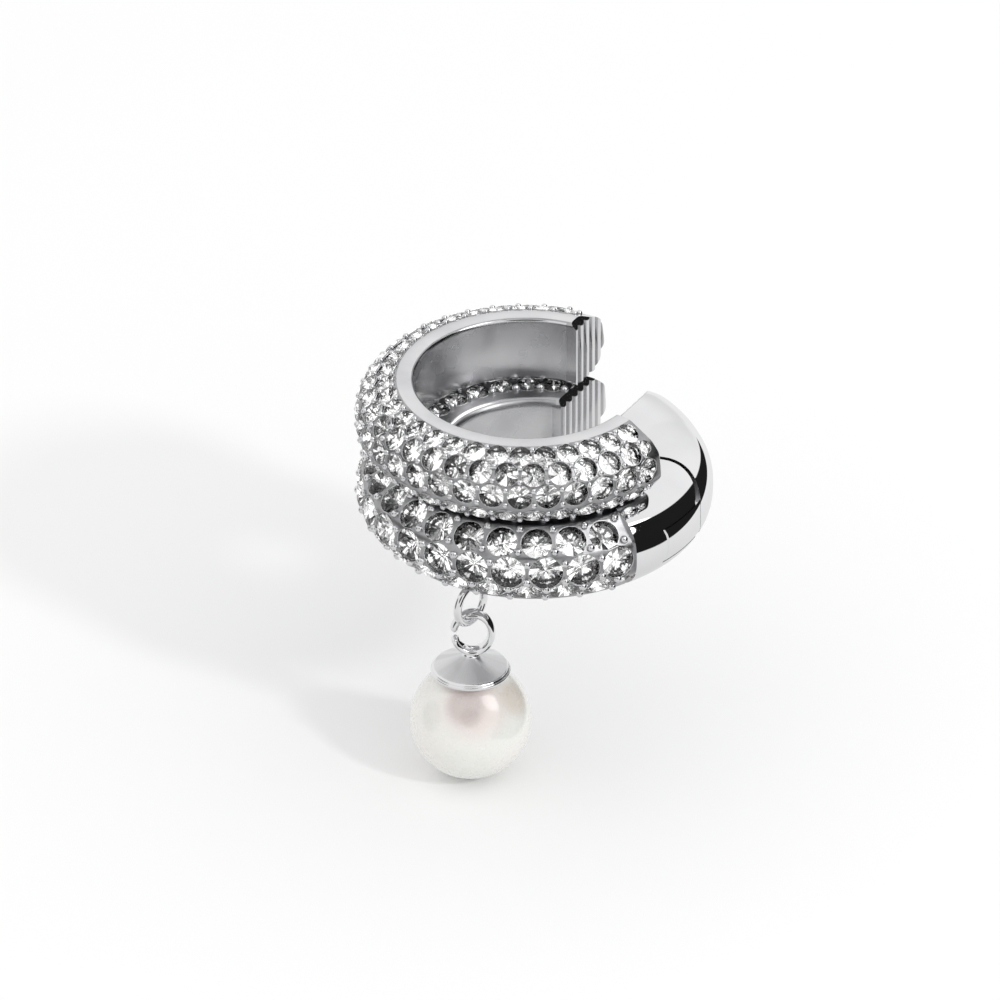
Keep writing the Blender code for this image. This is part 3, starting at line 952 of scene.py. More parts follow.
class RowSetter:
    """Geometry Nodes tree that sets copies of a shape in rows round a vertical axis."""

    INPUTS = {
        "Geometry": ("NodeSocketGeometry", None),
        "Shape": ("NodeSocketObject", None),
        "Axis": ("NodeSocketVector", None),
        "Row Radius": ("NodeSocketFloat", 0.007),
        "Row Height": ("NodeSocketFloat", 0.0),
        "Tilt": ("NodeSocketFloat", 0.0),
        "Start": ("NodeSocketFloat", 0.0),
        "Pitch": ("NodeSocketFloat", 0.1),
        "Count": ("NodeSocketInt", 10),
        "Size": ("NodeSocketFloat", 0.0005),
        "Spin": ("NodeSocketFloat", 0.0),
        "Wobble": ("NodeSocketFloat", 0.0),
        "Seed": ("NodeSocketInt", 0),
        "Material": ("NodeSocketMaterial", None),
        "Back Material": ("NodeSocketMaterial", None),
    }

    def __init__(self) -> None:
        """Builds the tree."""
        sheet = new_group("set_row", "GeometryNodeTree", self.INPUTS, {"Geometry": "NodeSocketGeometry"})
        self.tree = sheet.tree
        given = self.tree.nodes["Group Input"].outputs
        turn = sheet.math(
            "MULTIPLY_ADD", sheet.add("GeometryNodeInputIndex").outputs[0], given["Pitch"], given["Start"]
        )
        x = sheet.math("MULTIPLY", sheet.math("COSINE", turn), given["Row Radius"])
        y = sheet.math("MULTIPLY", sheet.math("SINE", turn), given["Row Radius"])
        reach = sheet.vector(x, y, given["Row Height"])
        place = sheet.vector_math("ADD", reach, given["Axis"]).outputs[0]
        points = sheet.add("GeometryNodePoints", {"Count": given["Count"]}).outputs[0]
        placed = sheet.add("GeometryNodeSetPosition", {"Geometry": points, "Position": place}).outputs[0]
        facing = sheet.vector(0.0, sheet.math("SUBTRACT", math.pi / 2, given["Tilt"]), turn)
        shape = sheet.add("GeometryNodeObjectInfo", {"Object": given["Shape"], "As Instance": True})
        size = sheet.vector(given["Size"], given["Size"], given["Size"])
        copies = sheet.add(
            "GeometryNodeInstanceOnPoints",
            {"Points": placed, "Instance": shape.outputs["Geometry"], "Rotation": facing, "Scale": size},
        ).outputs[0]
        low = sheet.math("MULTIPLY", given["Wobble"], -1.0)
        least = sheet.vector(low, low, 0.0)
        most = sheet.vector(given["Wobble"], given["Wobble"], given["Spin"])
        uneven = sheet.add(
            "FunctionNodeRandomValue", {0: least, 1: most, "Seed": given["Seed"]}, data_type="FLOAT_VECTOR"
        ).outputs[0]
        uneven_copies = sheet.add(
            "GeometryNodeRotateInstances", {"Instances": copies, "Rotation": uneven, "Local Space": True}
        ).outputs[0]
        own = sheet.add("FunctionNodeRandomValue", {"Seed": given["Seed"]}, data_type="FLOAT").outputs[1]
        marked = sheet.add(
            "GeometryNodeStoreNamedAttribute", {"Geometry": uneven_copies, "Name": "stone", "Value": own},
            data_type="FLOAT", domain="INSTANCE",
        ).outputs[0]
        real = sheet.add("GeometryNodeRealizeInstances", {"Geometry": marked}).outputs[0]
        coated = sheet.add("GeometryNodeSetMaterial", {"Geometry": real, "Material": given["Material"]})
        back = sheet.add("GeometryNodeInputNamedAttribute", {"Name": "back"}, data_type="BOOLEAN")
        backed = sheet.add(
            "GeometryNodeSetMaterial",
            {"Geometry": coated.outputs[0], "Selection": back.outputs[0],
             "Material": given["Back Material"]},
        ).outputs[0]
        both = sheet.add("GeometryNodeJoinGeometry", {"Geometry": given["Geometry"]})
        self.tree.links.new(backed, both.inputs[0])
        sheet.feed(self.tree.nodes["Group Output"].inputs[0], both.outputs[0])

    def set_rows(self, name: str, rows: list[Row], axis: Vector, shape: bpy.types.Object,
                 materials: tuple[bpy.types.Material, bpy.types.Material]) -> bpy.types.Object:
        """Sets all rows of one kind on a band.

        Args:
            name: name of the piece.
            rows: the rows.
            axis: a point of the band's axis.
            shape: the shape to repeat.
            materials: the material of the front and of the back.

        Returns:
            A plain mesh object without modifiers.
        """
        host = mesh_object(name + "_rows", bmesh.new())
        sockets = {
            item.name: item.identifier for item in self.tree.interface.items_tree if item.in_out == "INPUT"
        }
        for row in rows:
            modifier = host.modifiers.new("row", "NODES")
            modifier.node_group = self.tree
            values = {
                "Shape": shape, "Axis": axis, "Row Radius": row.radius, "Row Height": row.height,
                "Tilt": math.radians(row.tilt), "Start": math.radians(row.start),
                "Pitch": math.radians(row.pitch), "Count": row.count, "Size": row.size,
                "Spin": math.radians(row.spin), "Wobble": math.radians(row.wobble), "Seed": row.seed,
                "Material": materials[0], "Back Material": materials[1],
            }
            for label, value in values.items():
                modifier[sockets[label]] = value
        depsgraph = bpy.context.evaluated_depsgraph_get()
        mesh = bpy.data.meshes.new_from_object(
            host.evaluated_get(depsgraph), preserve_all_data_layers=True, depsgraph=depsgraph
        )
        mesh.name = name
        piece = bpy.data.objects.new(name, mesh)
        bpy.context.scene.collection.objects.link(piece)
        bpy.data.meshes.remove(host.data)
        return piece


def seat(piece: bpy.types.Object, body: Body, slot: Slot, *nodes: str) -> None:
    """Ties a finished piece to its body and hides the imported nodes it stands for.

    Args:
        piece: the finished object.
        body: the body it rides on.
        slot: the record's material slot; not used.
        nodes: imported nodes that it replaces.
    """
    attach(piece, body.value)
    if nodes:
        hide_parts(*nodes)
    LOG.info("%s: %d faces on %s", piece.name, len(piece.data.polygons), body.value)


def solid_piece(name: str, bm: bmesh.types.BMesh, material: bpy.types.Material) -> bpy.types.Object:
    """Finishes a closed shape: faces outwards, smooth but for its sharp edges.

    Args:
        name: name of the piece.
        bm: the shape; it is used up.
        material: its material.

    Returns:
        The object.
    """
    bmesh.ops.remove_doubles(bm, verts=bm.verts, dist=WELD)
    bmesh.ops.recalc_face_normals(bm, faces=bm.faces)
    for face in bm.faces:
        face.smooth = True
    for edge in bm.edges:
        edge.smooth = len(edge.link_faces) == 2 and edge.calc_face_angle(0) < math.radians(SHARP_DEG)
    piece = mesh_object(name, bm)
    piece.data.materials.append(material)
    return piece


def is_groove(normal: Vector) -> bool:
    """Tells by its normal whether a face lies deep in a groove between two ribs."""
    return abs(normal.dot(direction(RIB_PLANE_POLAR + 90))) > GROOVE_SHARE


def finish_faces(piece: bpy.types.Object, material: bpy.types.Material,
                 chosen: Callable[[Vector, Vector], bool]) -> None:
    """Gives some faces of a piece one more material.

    Args:
        piece: the object.
        material: the material to add.
        chosen: says, from a face's centre and normal, whether it takes it.
    """
    piece.data.materials.append(material)
    number = len(piece.data.materials) - 1
    for face in piece.data.polygons:
        if chosen(face.center, face.normal):
            face.material_index = number


@dataclass(frozen=True)
class StoneLine:
    """One line of stones on a band's section.

    Reach is a share of the width from the inner wall out, level a share of the height from the
    top down, and tilt the angle of the table's normal in degrees. End_r is the radius of the
    smaller stones that fill the half gaps at both ends, or 0.
    """

    reach: float
    level: float
    tilt: float
    stone_r: float
    stagger: float
    end_r: float = 0.0


@dataclass(frozen=True)
class StoneBand:
    """Curved band that is set with rows of cut stones."""

    node: str
    axis: Vector
    lines: tuple[StoneLine, ...]
    inner_r: float
    width: float
    top: float
    height: float
    inner_round: float
    rim_drop: float
    columns: int
    front_polar: float
    bead_r: float
    rim_width: float
    end_shares: tuple[float, ...] = (1.0,)
    end_deg: float = 0.0
    corner_soft: float = 0.22 * MM
    rise: float = 0.13 * MM
    border_deg: float = 0.8
    plain_deg: float = 0.7
    overrun_polar: float = 55.0
    end_place: float = 0.27
    stone_wobble: float = 2.5
    bead_rise: float = 0.25
    edge_bead_share: float = 0.62
    chamfer: float = 0.34 * MM
    seat_share: float = 1.03
    seat_high: float = 0.9
    seat_low: float = 0.05
    seat_sides: int = 16
    sweep_step: float = 2.0
    cutter_reach: float = 12.0 * MM

    @property
    def pitch(self) -> float:
        """Angle from one stone to the next, in degrees."""
        return (self.front_polar - self.border_deg - STONES_START_POLAR) / self.columns

    def table_point(self, line: StoneLine) -> Vector:
        """Section point of a line's tables."""
        return Vector((self.inner_r + line.reach * self.width, self.top - line.level * self.height))

    def metal_point(self, line: StoneLine) -> Vector:
        """Section point of the metal under a line's tables."""
        return self.table_point(line) - self.rise * flat_direction(line.tilt)

    def outline(self) -> list[Vector]:
        """Builds the section: a flat for each line of stones, with softened corners.

        Returns:
            Section points, as radius and height.
        """
        rim = self.top - self.rim_drop
        bottom = self.top - self.height
        flats = [(Vector((self.inner_r, rim)), 90.0)]
        flats += [(self.metal_point(line), line.tilt) for line in self.lines if line.tilt < 90.0]
        flats.append((Vector((self.inner_r, bottom)), -90.0))
        corners = [(Vector((self.inner_r, rim)), self.inner_round)]
        for (point_a, tilt_a), (point_b, tilt_b) in zip(flats, flats[1:]):
            normal_a, normal_b = flat_direction(tilt_a), flat_direction(tilt_b)
            reach_a, reach_b = normal_a.dot(point_a), normal_b.dot(point_b)
            scale = normal_a.cross(normal_b)
            x = (reach_a * normal_b.y - reach_b * normal_a.y) / scale
            y = (reach_b * normal_a.x - reach_a * normal_b.x) / scale
            corners.append((Vector((x, y)), self.corner_soft))
        corners.append((Vector((self.inner_r, bottom)), self.inner_round))
        return softened(corners)

    def stone_rows(self, crown: float) -> list[Row]:
        """Lists the rows of stones.

        Args:
            crown: height of the crown, as a share of the stone's radius.

        Returns:
            One row for each line, at the height of the girdles.
        """
        rows = []
        for number, line in enumerate(self.lines):
            girdle = self.table_point(line) - crown * line.stone_r * flat_direction(line.tilt)
            start = STONES_START_POLAR + (0.5 + line.stagger) * self.pitch
            count = self.columns - math.ceil(line.stagger)
            rows.append(Row(
                girdle.x, girdle.y, line.tilt, start, self.pitch, count, line.stone_r,
                spin=360.0, wobble=self.stone_wobble, seed=number + 1,
            ))
            if line.end_r:
                last = self.front_polar - self.border_deg - self.end_place * self.pitch
                first = STONES_START_POLAR + self.end_place * self.pitch
                small = replace(rows[-1], size=line.end_r, count=2, start=first, pitch=last - first)
                rows.append(small)
        return rows

    def collar_rows(self, crown: float) -> list[Row]:
        """Lists the thin rims round the stones, given the height of the crown."""
        return [
            replace(row, size=self.seat_share * row.size, wobble=0.0, spin=0.0)
            for row in self.stone_rows(crown)
        ]

    def bead_rows(self) -> list[Row]:
        """Lists the rows of beads: they sit in the corners that three stones leave.

        Returns:
            Rows on both sides of each line, towards its neighbours and the edges.
        """
        rows = []
        for number, line in enumerate(self.lines):
            start = STONES_START_POLAR + line.stagger * self.pitch
            count = self.columns
            for side in (-1, 1):
                neighbour = number - side
                if 0 <= neighbour < len(self.lines):
                    apart = (self.metal_point(self.lines[neighbour]) - self.metal_point(line)).length
                    shift = apart / 3
                else:
                    shift = line.stone_r * self.edge_bead_share
                place = self.metal_point(line) + shift * flat_direction(line.tilt + 90 * side)
                place += self.bead_rise * self.bead_r * flat_direction(line.tilt)
                rows.append(Row(place.x, place.y, line.tilt, start, self.pitch, count, self.bead_r))
        return rows

    def seat_cutter(self, crown: float) -> bmesh.types.BMesh:
        """Builds the cones that cut the seats of all stones.

        Args:
            crown: height of the crown, as a share of the stone's radius.

        Returns:
            One bmesh with all cones.
        """
        bm = bmesh.new()
        for row in self.stone_rows(crown):
            for index in range(row.count):
                out = direction(row.start + index * row.pitch)
                tilt = math.radians(row.tilt)
                normal = math.cos(tilt) * out + math.sin(tilt) * UP
                place = normal.to_track_quat("Z", "Y").to_matrix().to_4x4()
                place.translation = self.axis + row.radius * out + row.height * UP
                radius = self.seat_share * row.size
                rim = [radius * direction(360 * side / self.seat_sides) for side in range(self.seat_sides)]
                high = [bm.verts.new(place @ (point + self.seat_high * row.size * UP)) for point in rim]
                low = [bm.verts.new(place @ (point - self.seat_low * row.size * UP)) for point in rim]
                tip = bm.verts.new(place @ (-row.size * UP))
                bm.faces.new(high)
                for side in range(self.seat_sides):
                    after = (side + 1) % self.seat_sides
                    bm.faces.new((high[side], low[side], low[after], high[after]))
                    bm.faces.new((low[side], tip, low[after]))
        return bm

    def body(self, crown: float) -> bmesh.types.BMesh:
        """Builds the metal with its ribbed end, chamfer and stone seats.

        Args:
            crown: height of the crown, as a share of the stone's radius.

        Returns:
            The closed metal.
        """
        angles = spread(self.overrun_polar, self.front_polar, self.sweep_step)
        shares = [1.0] * (len(angles) - 1) + list(self.end_shares)
        last = len(self.end_shares)
        angles += [self.front_polar + self.end_deg * step / last for step in range(1, last)]
        metal = swept(self.outline(), self.axis, angles, shares)
        ribs = RibbedFace(-GRIP_FACE_OFFSET * direction(RIB_PLANE_POLAR), RIB_PLANE_POLAR)
        metal = combined(metal, ribs.cutter(-self.cutter_reach, self.cutter_reach), Operation.CUT)
        metal = combined(metal, ribs.chamfer(self.top - self.rim_drop, self.chamfer), Operation.CUT)
        return combined(metal, self.seat_cutter(crown), Operation.CUT)

    def is_wall(self, centre: Vector, normal: Vector) -> bool:
        """Tells whether a face lies on the inner wall, from its centre and normal."""
        return (centre - self.axis).xy.length < self.inner_r + NEAR and abs(normal.z) < UPRIGHT_SHARE

    def by_grip(self, centre: Vector) -> bool:
        """Tells whether a point lies on the ribbed face or its chamfer.

        Args:
            centre: the point.

        Returns:
            True near the plane of the ribs, on their side of the band.
        """
        edge = self.chamfer + RibbedFace.depth
        behind = (centre - self.axis).dot(direction(RIB_PLANE_POLAR + 90)) > 0
        return behind and centre.dot(direction(RIB_PLANE_POLAR)) > -GRIP_FACE_OFFSET - edge

    def is_rib_groove(self, centre: Vector, normal: Vector) -> bool:
        """Tells whether a face lies in a groove of the ribbed face, which takes painted shade."""
        return self.by_grip(centre) and is_groove(normal)

    def is_recess(self, centre: Vector, normal: Vector) -> bool:
        """Tells whether a face lies among the stones, and not on the wall, the rim or an end.

        Args:
            centre: the face's centre.
            normal: its normal.

        Returns:
            True for the web between the stones and for their seats, which take the painted shade.
        """
        reach = centre - self.axis
        across = math.hypot(reach.x, reach.y)
        polar = math.degrees(math.atan2(reach.y, reach.x)) % 360
        on_wall = across < self.inner_r + 2 * NEAR
        on_rim = normal.z > 0.9 and centre.z > self.top - self.rim_drop - NEAR
        on_rim = on_rim and across < self.inner_r + self.rim_width
        at_front = polar > self.front_polar - self.plain_deg and across > self.inner_r
        return not (on_wall or on_rim or self.by_grip(centre) or at_front)

    def build(self, setter: RowSetter, stone: CutStone, shapes: dict[str, bpy.types.Object],
              finishes: Finishes) -> None:
        """Builds the band's metal, stones, beads and collars.

        Args:
            setter: the tree that sets the rows.
            stone: sizes of the cut.
            shapes: the stone, bead and collar to repeat.
            finishes: the materials.
        """
        metal = solid_piece(self.node + "_metal", self.body(stone.crown), finishes.setting)
        # Painted shade: the web between the stones and their seats take a darker grey metal.
        finish_faces(metal, finishes.recess, self.is_recess)
        # The inner wall takes the rougher metal whose darker grey is painted shade.
        finish_faces(metal, finishes.wall, self.is_wall)
        # Painted shade: the grooves of the ribbed end take the greyer metal.
        finish_faces(metal, finishes.collar, self.is_rib_groove)
        seat(metal, Body.CUFF, Slot.BAND, self.node)
        kinds = (
            ("stone", self.stone_rows(stone.crown), (finishes.crown, finishes.foil)),
            ("bead", self.bead_rows(), (finishes.setting, finishes.setting)),
            # The collars take the greyer metal as painted shade round each stone.
            ("collar", self.collar_rows(stone.crown), (finishes.collar, finishes.collar)),
        )
        for kind, rows, materials in kinds:
            piece = setter.set_rows(f"{self.node}_{kind}s", rows, self.axis, shapes[kind], materials)
            seat(piece, Body.CUFF, Slot.BAND, self.node)


@dataclass(frozen=True)
class PolishedBar:
    """Plump D-shaped bar, bent round the lower axis, that the stub and the clip arm share."""

    inner_r: float = 4.46 * MM
    outer_r: float = 8.76 * MM
    half_height: float = 2.07 * MM
    curve_start_r: float = 6.2486 * MM
    squareness: float = 2.5
    inner_round: float = 0.45 * MM
    crown_drop: float = 0.16 * MM
    crown_steps: int = 5
    curve_steps: int = 14
    sweep_step: float = 1.4

    def outline(self, inset: float = 0.0) -> list[Vector]:
        """Builds the section.

        Args:
            inset: how far the whole section is drawn in.

        Returns:
            Section points, as radius and height.
        """
        reach = self.outer_r - self.curve_start_r - inset
        half = self.half_height - inset
        inner = self.inner_r + inset
        outer = []
        for step in range(2 * self.curve_steps + 1):
            turn = math.radians(90 - 90 * step / self.curve_steps)
            along = abs(math.cos(turn)) ** (2 / self.squareness)
            up = math.copysign(abs(math.sin(turn)) ** (2 / self.squareness), math.sin(turn))
            outer.append(Vector((self.curve_start_r + reach * along, half * up)))
        rounds = []
        edge = half - self.crown_drop
        for sign in (-1, 1):
            corner = []
            for step in range(self.crown_steps):
                share = 1 - (step + 1) / (self.crown_steps + 1)
                x = inner + self.inner_round + share * (self.curve_start_r - inner - self.inner_round)
                corner.append(Vector((x, sign * (half - self.crown_drop * (1 - share) ** 2))))
            for step in range(7):
                turn = math.radians(15 * step)
                x = inner + self.inner_round * (1 - math.sin(turn))
                corner.append(Vector((x, sign * (edge - self.inner_round * (1 - math.cos(turn))))))
            rounds.append(corner)
        return rounds[1][::-1] + outer + rounds[0]


@dataclass(frozen=True)
class Hinge:
    """Fork, tongue and pin that join the clip arm to the stub of the lower band."""

    bar: PolishedBar
    stub_start: float = 304.6
    pin_polar: float = 330.0
    end_polar: float = 410.0
    swell_start: float = 380.0
    swell: float = 0.09
    fall_start: float = 399.0
    fall: float = 0.14
    tip_round: float = 0.9 * MM
    tip_chamfer: float = 0.34 * MM
    reach_deg: float = 28.0
    ear_r: float = 2.155 * MM
    shoulder_seam: float = 0.25 * MM
    tail_r: float = 2.62 * MM
    slot_clearance: float = 0.08 * MM
    tongue_half: float = 0.885 * MM
    tongue_clearance: float = 0.05 * MM
    pin_r: float = 0.42 * MM
    pin_clearance: float = 0.04 * MM
    pin_half: float = 1.85 * MM
    wedge_near: float = 2.0 * MM
    wedge_far: float = 14.0 * MM
    wedge_bulge: float = 16.0 * MM
    seam_depth: float = 0.2 * MM
    seam_margin: float = 0.03 * MM
    seam_upright: float = 0.2
    tongue_inset: float = 0.008 * MM
    far: float = 12.0 * MM

    def wedge(self, start: float, end: float) -> bmesh.types.BMesh:
        """Builds the block that covers a stretch of polar angles round the lower axis.

        Args:
            start: first polar angle.
            end: last polar angle.

        Returns:
            The closed block.
        """
        corners = (
            (self.wedge_near, start), (self.wedge_far, start), (self.wedge_bulge, (start + end) / 2),
            (self.wedge_far, end), (self.wedge_near, end),
        )
        outline = [LOWER_AXIS + reach * direction(polar) for reach, polar in corners]
        return prism(outline, -self.far, self.far)

    def is_seam(self, centre: Vector, normal: Vector) -> bool:
        """Tells whether a face lies in the hinge's seam.

        Args:
            centre: the face's centre.
            normal: its normal.

        Returns:
            True for the upright faces round the pin that lie below the bar's surface.
        """
        reach = (centre - PIN_AXIS).xy.length
        inside = (centre - LOWER_AXIS).xy.length < self.bar.outer_r - self.seam_depth
        round_pin = reach < self.ear_r + self.shoulder_seam + self.seam_margin
        return inside and round_pin and abs(normal.z) < self.seam_upright

    def is_tip_groove(self, centre: Vector, normal: Vector) -> bool:
        """Tells whether a face lies on the chamfer or in a groove of the arm's ribbed tip.

        Args:
            centre: the face's centre.
            normal: its normal.

        Returns:
            True for the faces that get the greyer finish.
        """
        ahead = centre.dot(direction(RIB_PLANE_POLAR)) - GRIP_TIP_OFFSET
        on_tip = ahead < self.tip_chamfer + NEAR and centre.y > PIN_AXIS.y + self.ear_r
        facing = -normal.dot(direction(RIB_PLANE_POLAR))
        # True for the faces that get the greyer finish, which is painted shade.
        on_chamfer = 0.6 < facing < 0.8 and normal.z > 0.6
        return on_tip and (on_chamfer or (facing > 0.5 and is_groove(normal)))

    def arm_share(self, polar: float) -> float:
        """Gives the size of the arm's section at an angle: it swells, then rounds off at the tip.

        Args:
            polar: polar angle about the lower axis.

        Returns:
            Share of the full section.
        """
        swell = max(0.0, polar - self.swell_start) / (self.end_polar - self.swell_start)
        fall = max(0.0, polar - self.fall_start) / (self.end_polar - self.fall_start)
        return 1 + self.swell * swell - self.fall * fall ** 2

    def tip_corner(self) -> bmesh.types.BMesh:
        """Builds the block that rounds the outer corner of the arm's tip, seen from above.

        Returns:
            The closed cutter.
        """
        out = direction(RIB_PLANE_POLAR)
        along = direction(RIB_PLANE_POLAR + 90)
        depth = GRIP_TIP_OFFSET - LOWER_AXIS.dot(out) + self.tip_round
        across = math.sqrt((self.bar.outer_r - self.tip_round) ** 2 - depth ** 2)
        centre = LOWER_AXIS + depth * out + across * along
        start = RIB_PLANE_POLAR + math.degrees(math.atan2(across, depth))
        end = RIB_PLANE_POLAR + 180
        fan = [centre] + [centre + self.far * direction(turn) for turn in (start, (start + end) / 2, end)]
        rounding = post(centre, self.tip_round, -2 * self.far, 2 * self.far)
        return combined(prism(fan, -self.far, self.far), rounding, Operation.CUT)

    def build_fork(self, finishes: Finishes) -> None:
        """Builds the stub with its rounded ears, slot and pin hole.

        Args:
            finishes: the materials.
        """
        angles = spread(self.stub_start, self.pin_polar + self.reach_deg, self.bar.sweep_step)
        fork = swept(self.bar.outline(), LOWER_AXIS, angles)
        beyond = combined(
            self.wedge(self.pin_polar, self.pin_polar + 60),
            post(PIN_AXIS, self.ear_r, -2 * self.far, 2 * self.far), Operation.CUT,
        )
        fork = combined(fork, beyond, Operation.CUT)
        half_slot = self.tongue_half + self.tongue_clearance
        slot = post(PIN_AXIS, self.tail_r + self.slot_clearance, -half_slot, half_slot)
        fork = combined(fork, slot, Operation.CUT)
        depth = self.pin_half + self.tongue_clearance
        hole = post(PIN_AXIS, self.pin_r + self.pin_clearance, -depth, depth, PIN_SIDES)
        fork = combined(fork, hole, Operation.CUT)
        piece = solid_piece("hinge_fork", fork, finishes.polished)
        # Painted shade: the seam round the pin takes the darker grey metal.
        finish_faces(piece, finishes.recess, self.is_seam)
        seat(piece, Body.CUFF, Slot.POLISHED, "lower_band")

    def build_arm(self, finishes: Finishes) -> None:
        """Builds the clip arm with its tongue and its ribbed tip.

        Args:
            finishes: the materials.
        """
        angles = spread(self.pin_polar, self.end_polar, self.bar.sweep_step)
        arm = swept(self.bar.outline(), LOWER_AXIS, angles, [self.arm_share(angle) for angle in angles])
        shoulder = post(PIN_AXIS, self.ear_r + self.shoulder_seam, -self.far, self.far)
        arm = combined(arm, shoulder, Operation.CUT)
        ribs = RibbedFace(GRIP_TIP_OFFSET * direction(RIB_PLANE_POLAR), RIB_PLANE_POLAR + 180)
        arm = combined(arm, self.tip_corner(), Operation.CUT)
        arm = combined(arm, ribs.cutter(-self.far, self.far), Operation.CUT)
        arm = combined(arm, ribs.chamfer(self.bar.half_height, self.tip_chamfer), Operation.CUT)
        first, last = self.pin_polar - self.reach_deg, self.pin_polar + self.reach_deg
        angles = spread(first, last, self.bar.sweep_step)
        tongue = swept(self.bar.outline(self.tongue_inset), LOWER_AXIS, angles)
        tail = post(PIN_AXIS, self.tail_r, -self.tongue_half, self.tongue_half)
        tongue = combined(tongue, tail, Operation.COMMON)
        hole = post(PIN_AXIS, self.pin_r + self.pin_clearance, -self.far, self.far, PIN_SIDES)
        tongue = combined(tongue, hole, Operation.CUT)
        piece = solid_piece("clip_arm_polished", joined(arm, tongue), finishes.polished)
        # Painted shade: the seam round the pin takes the darker grey metal.
        finish_faces(piece, finishes.recess, self.is_seam)
        # Painted shade: the arm tip's chamfer and its grooves take the greyer metal.
        finish_faces(piece, finishes.collar, self.is_tip_groove)
        seat(piece, Body.CLIP, Slot.POLISHED, "clip_arm")

    def build_pin(self, finishes: Finishes) -> None:
        """Builds the pin.

        Args:
            finishes: the materials.
        """
        half, edge = self.pin_half, self.pin_clearance
        profile = [
            Vector((0, half)), Vector((self.pin_r - edge, half)), Vector((self.pin_r, half - edge)),
            Vector((self.pin_r, edge - half)), Vector((self.pin_r - edge, -half)), Vector((0, -half)),
        ]
        piece = solid_piece("hinge_pin_turned", turned(profile, PIN_AXIS, PIN_SIDES), finishes.polished)
        seat(piece, Body.CUFF, Slot.POLISHED, "hinge_pin")


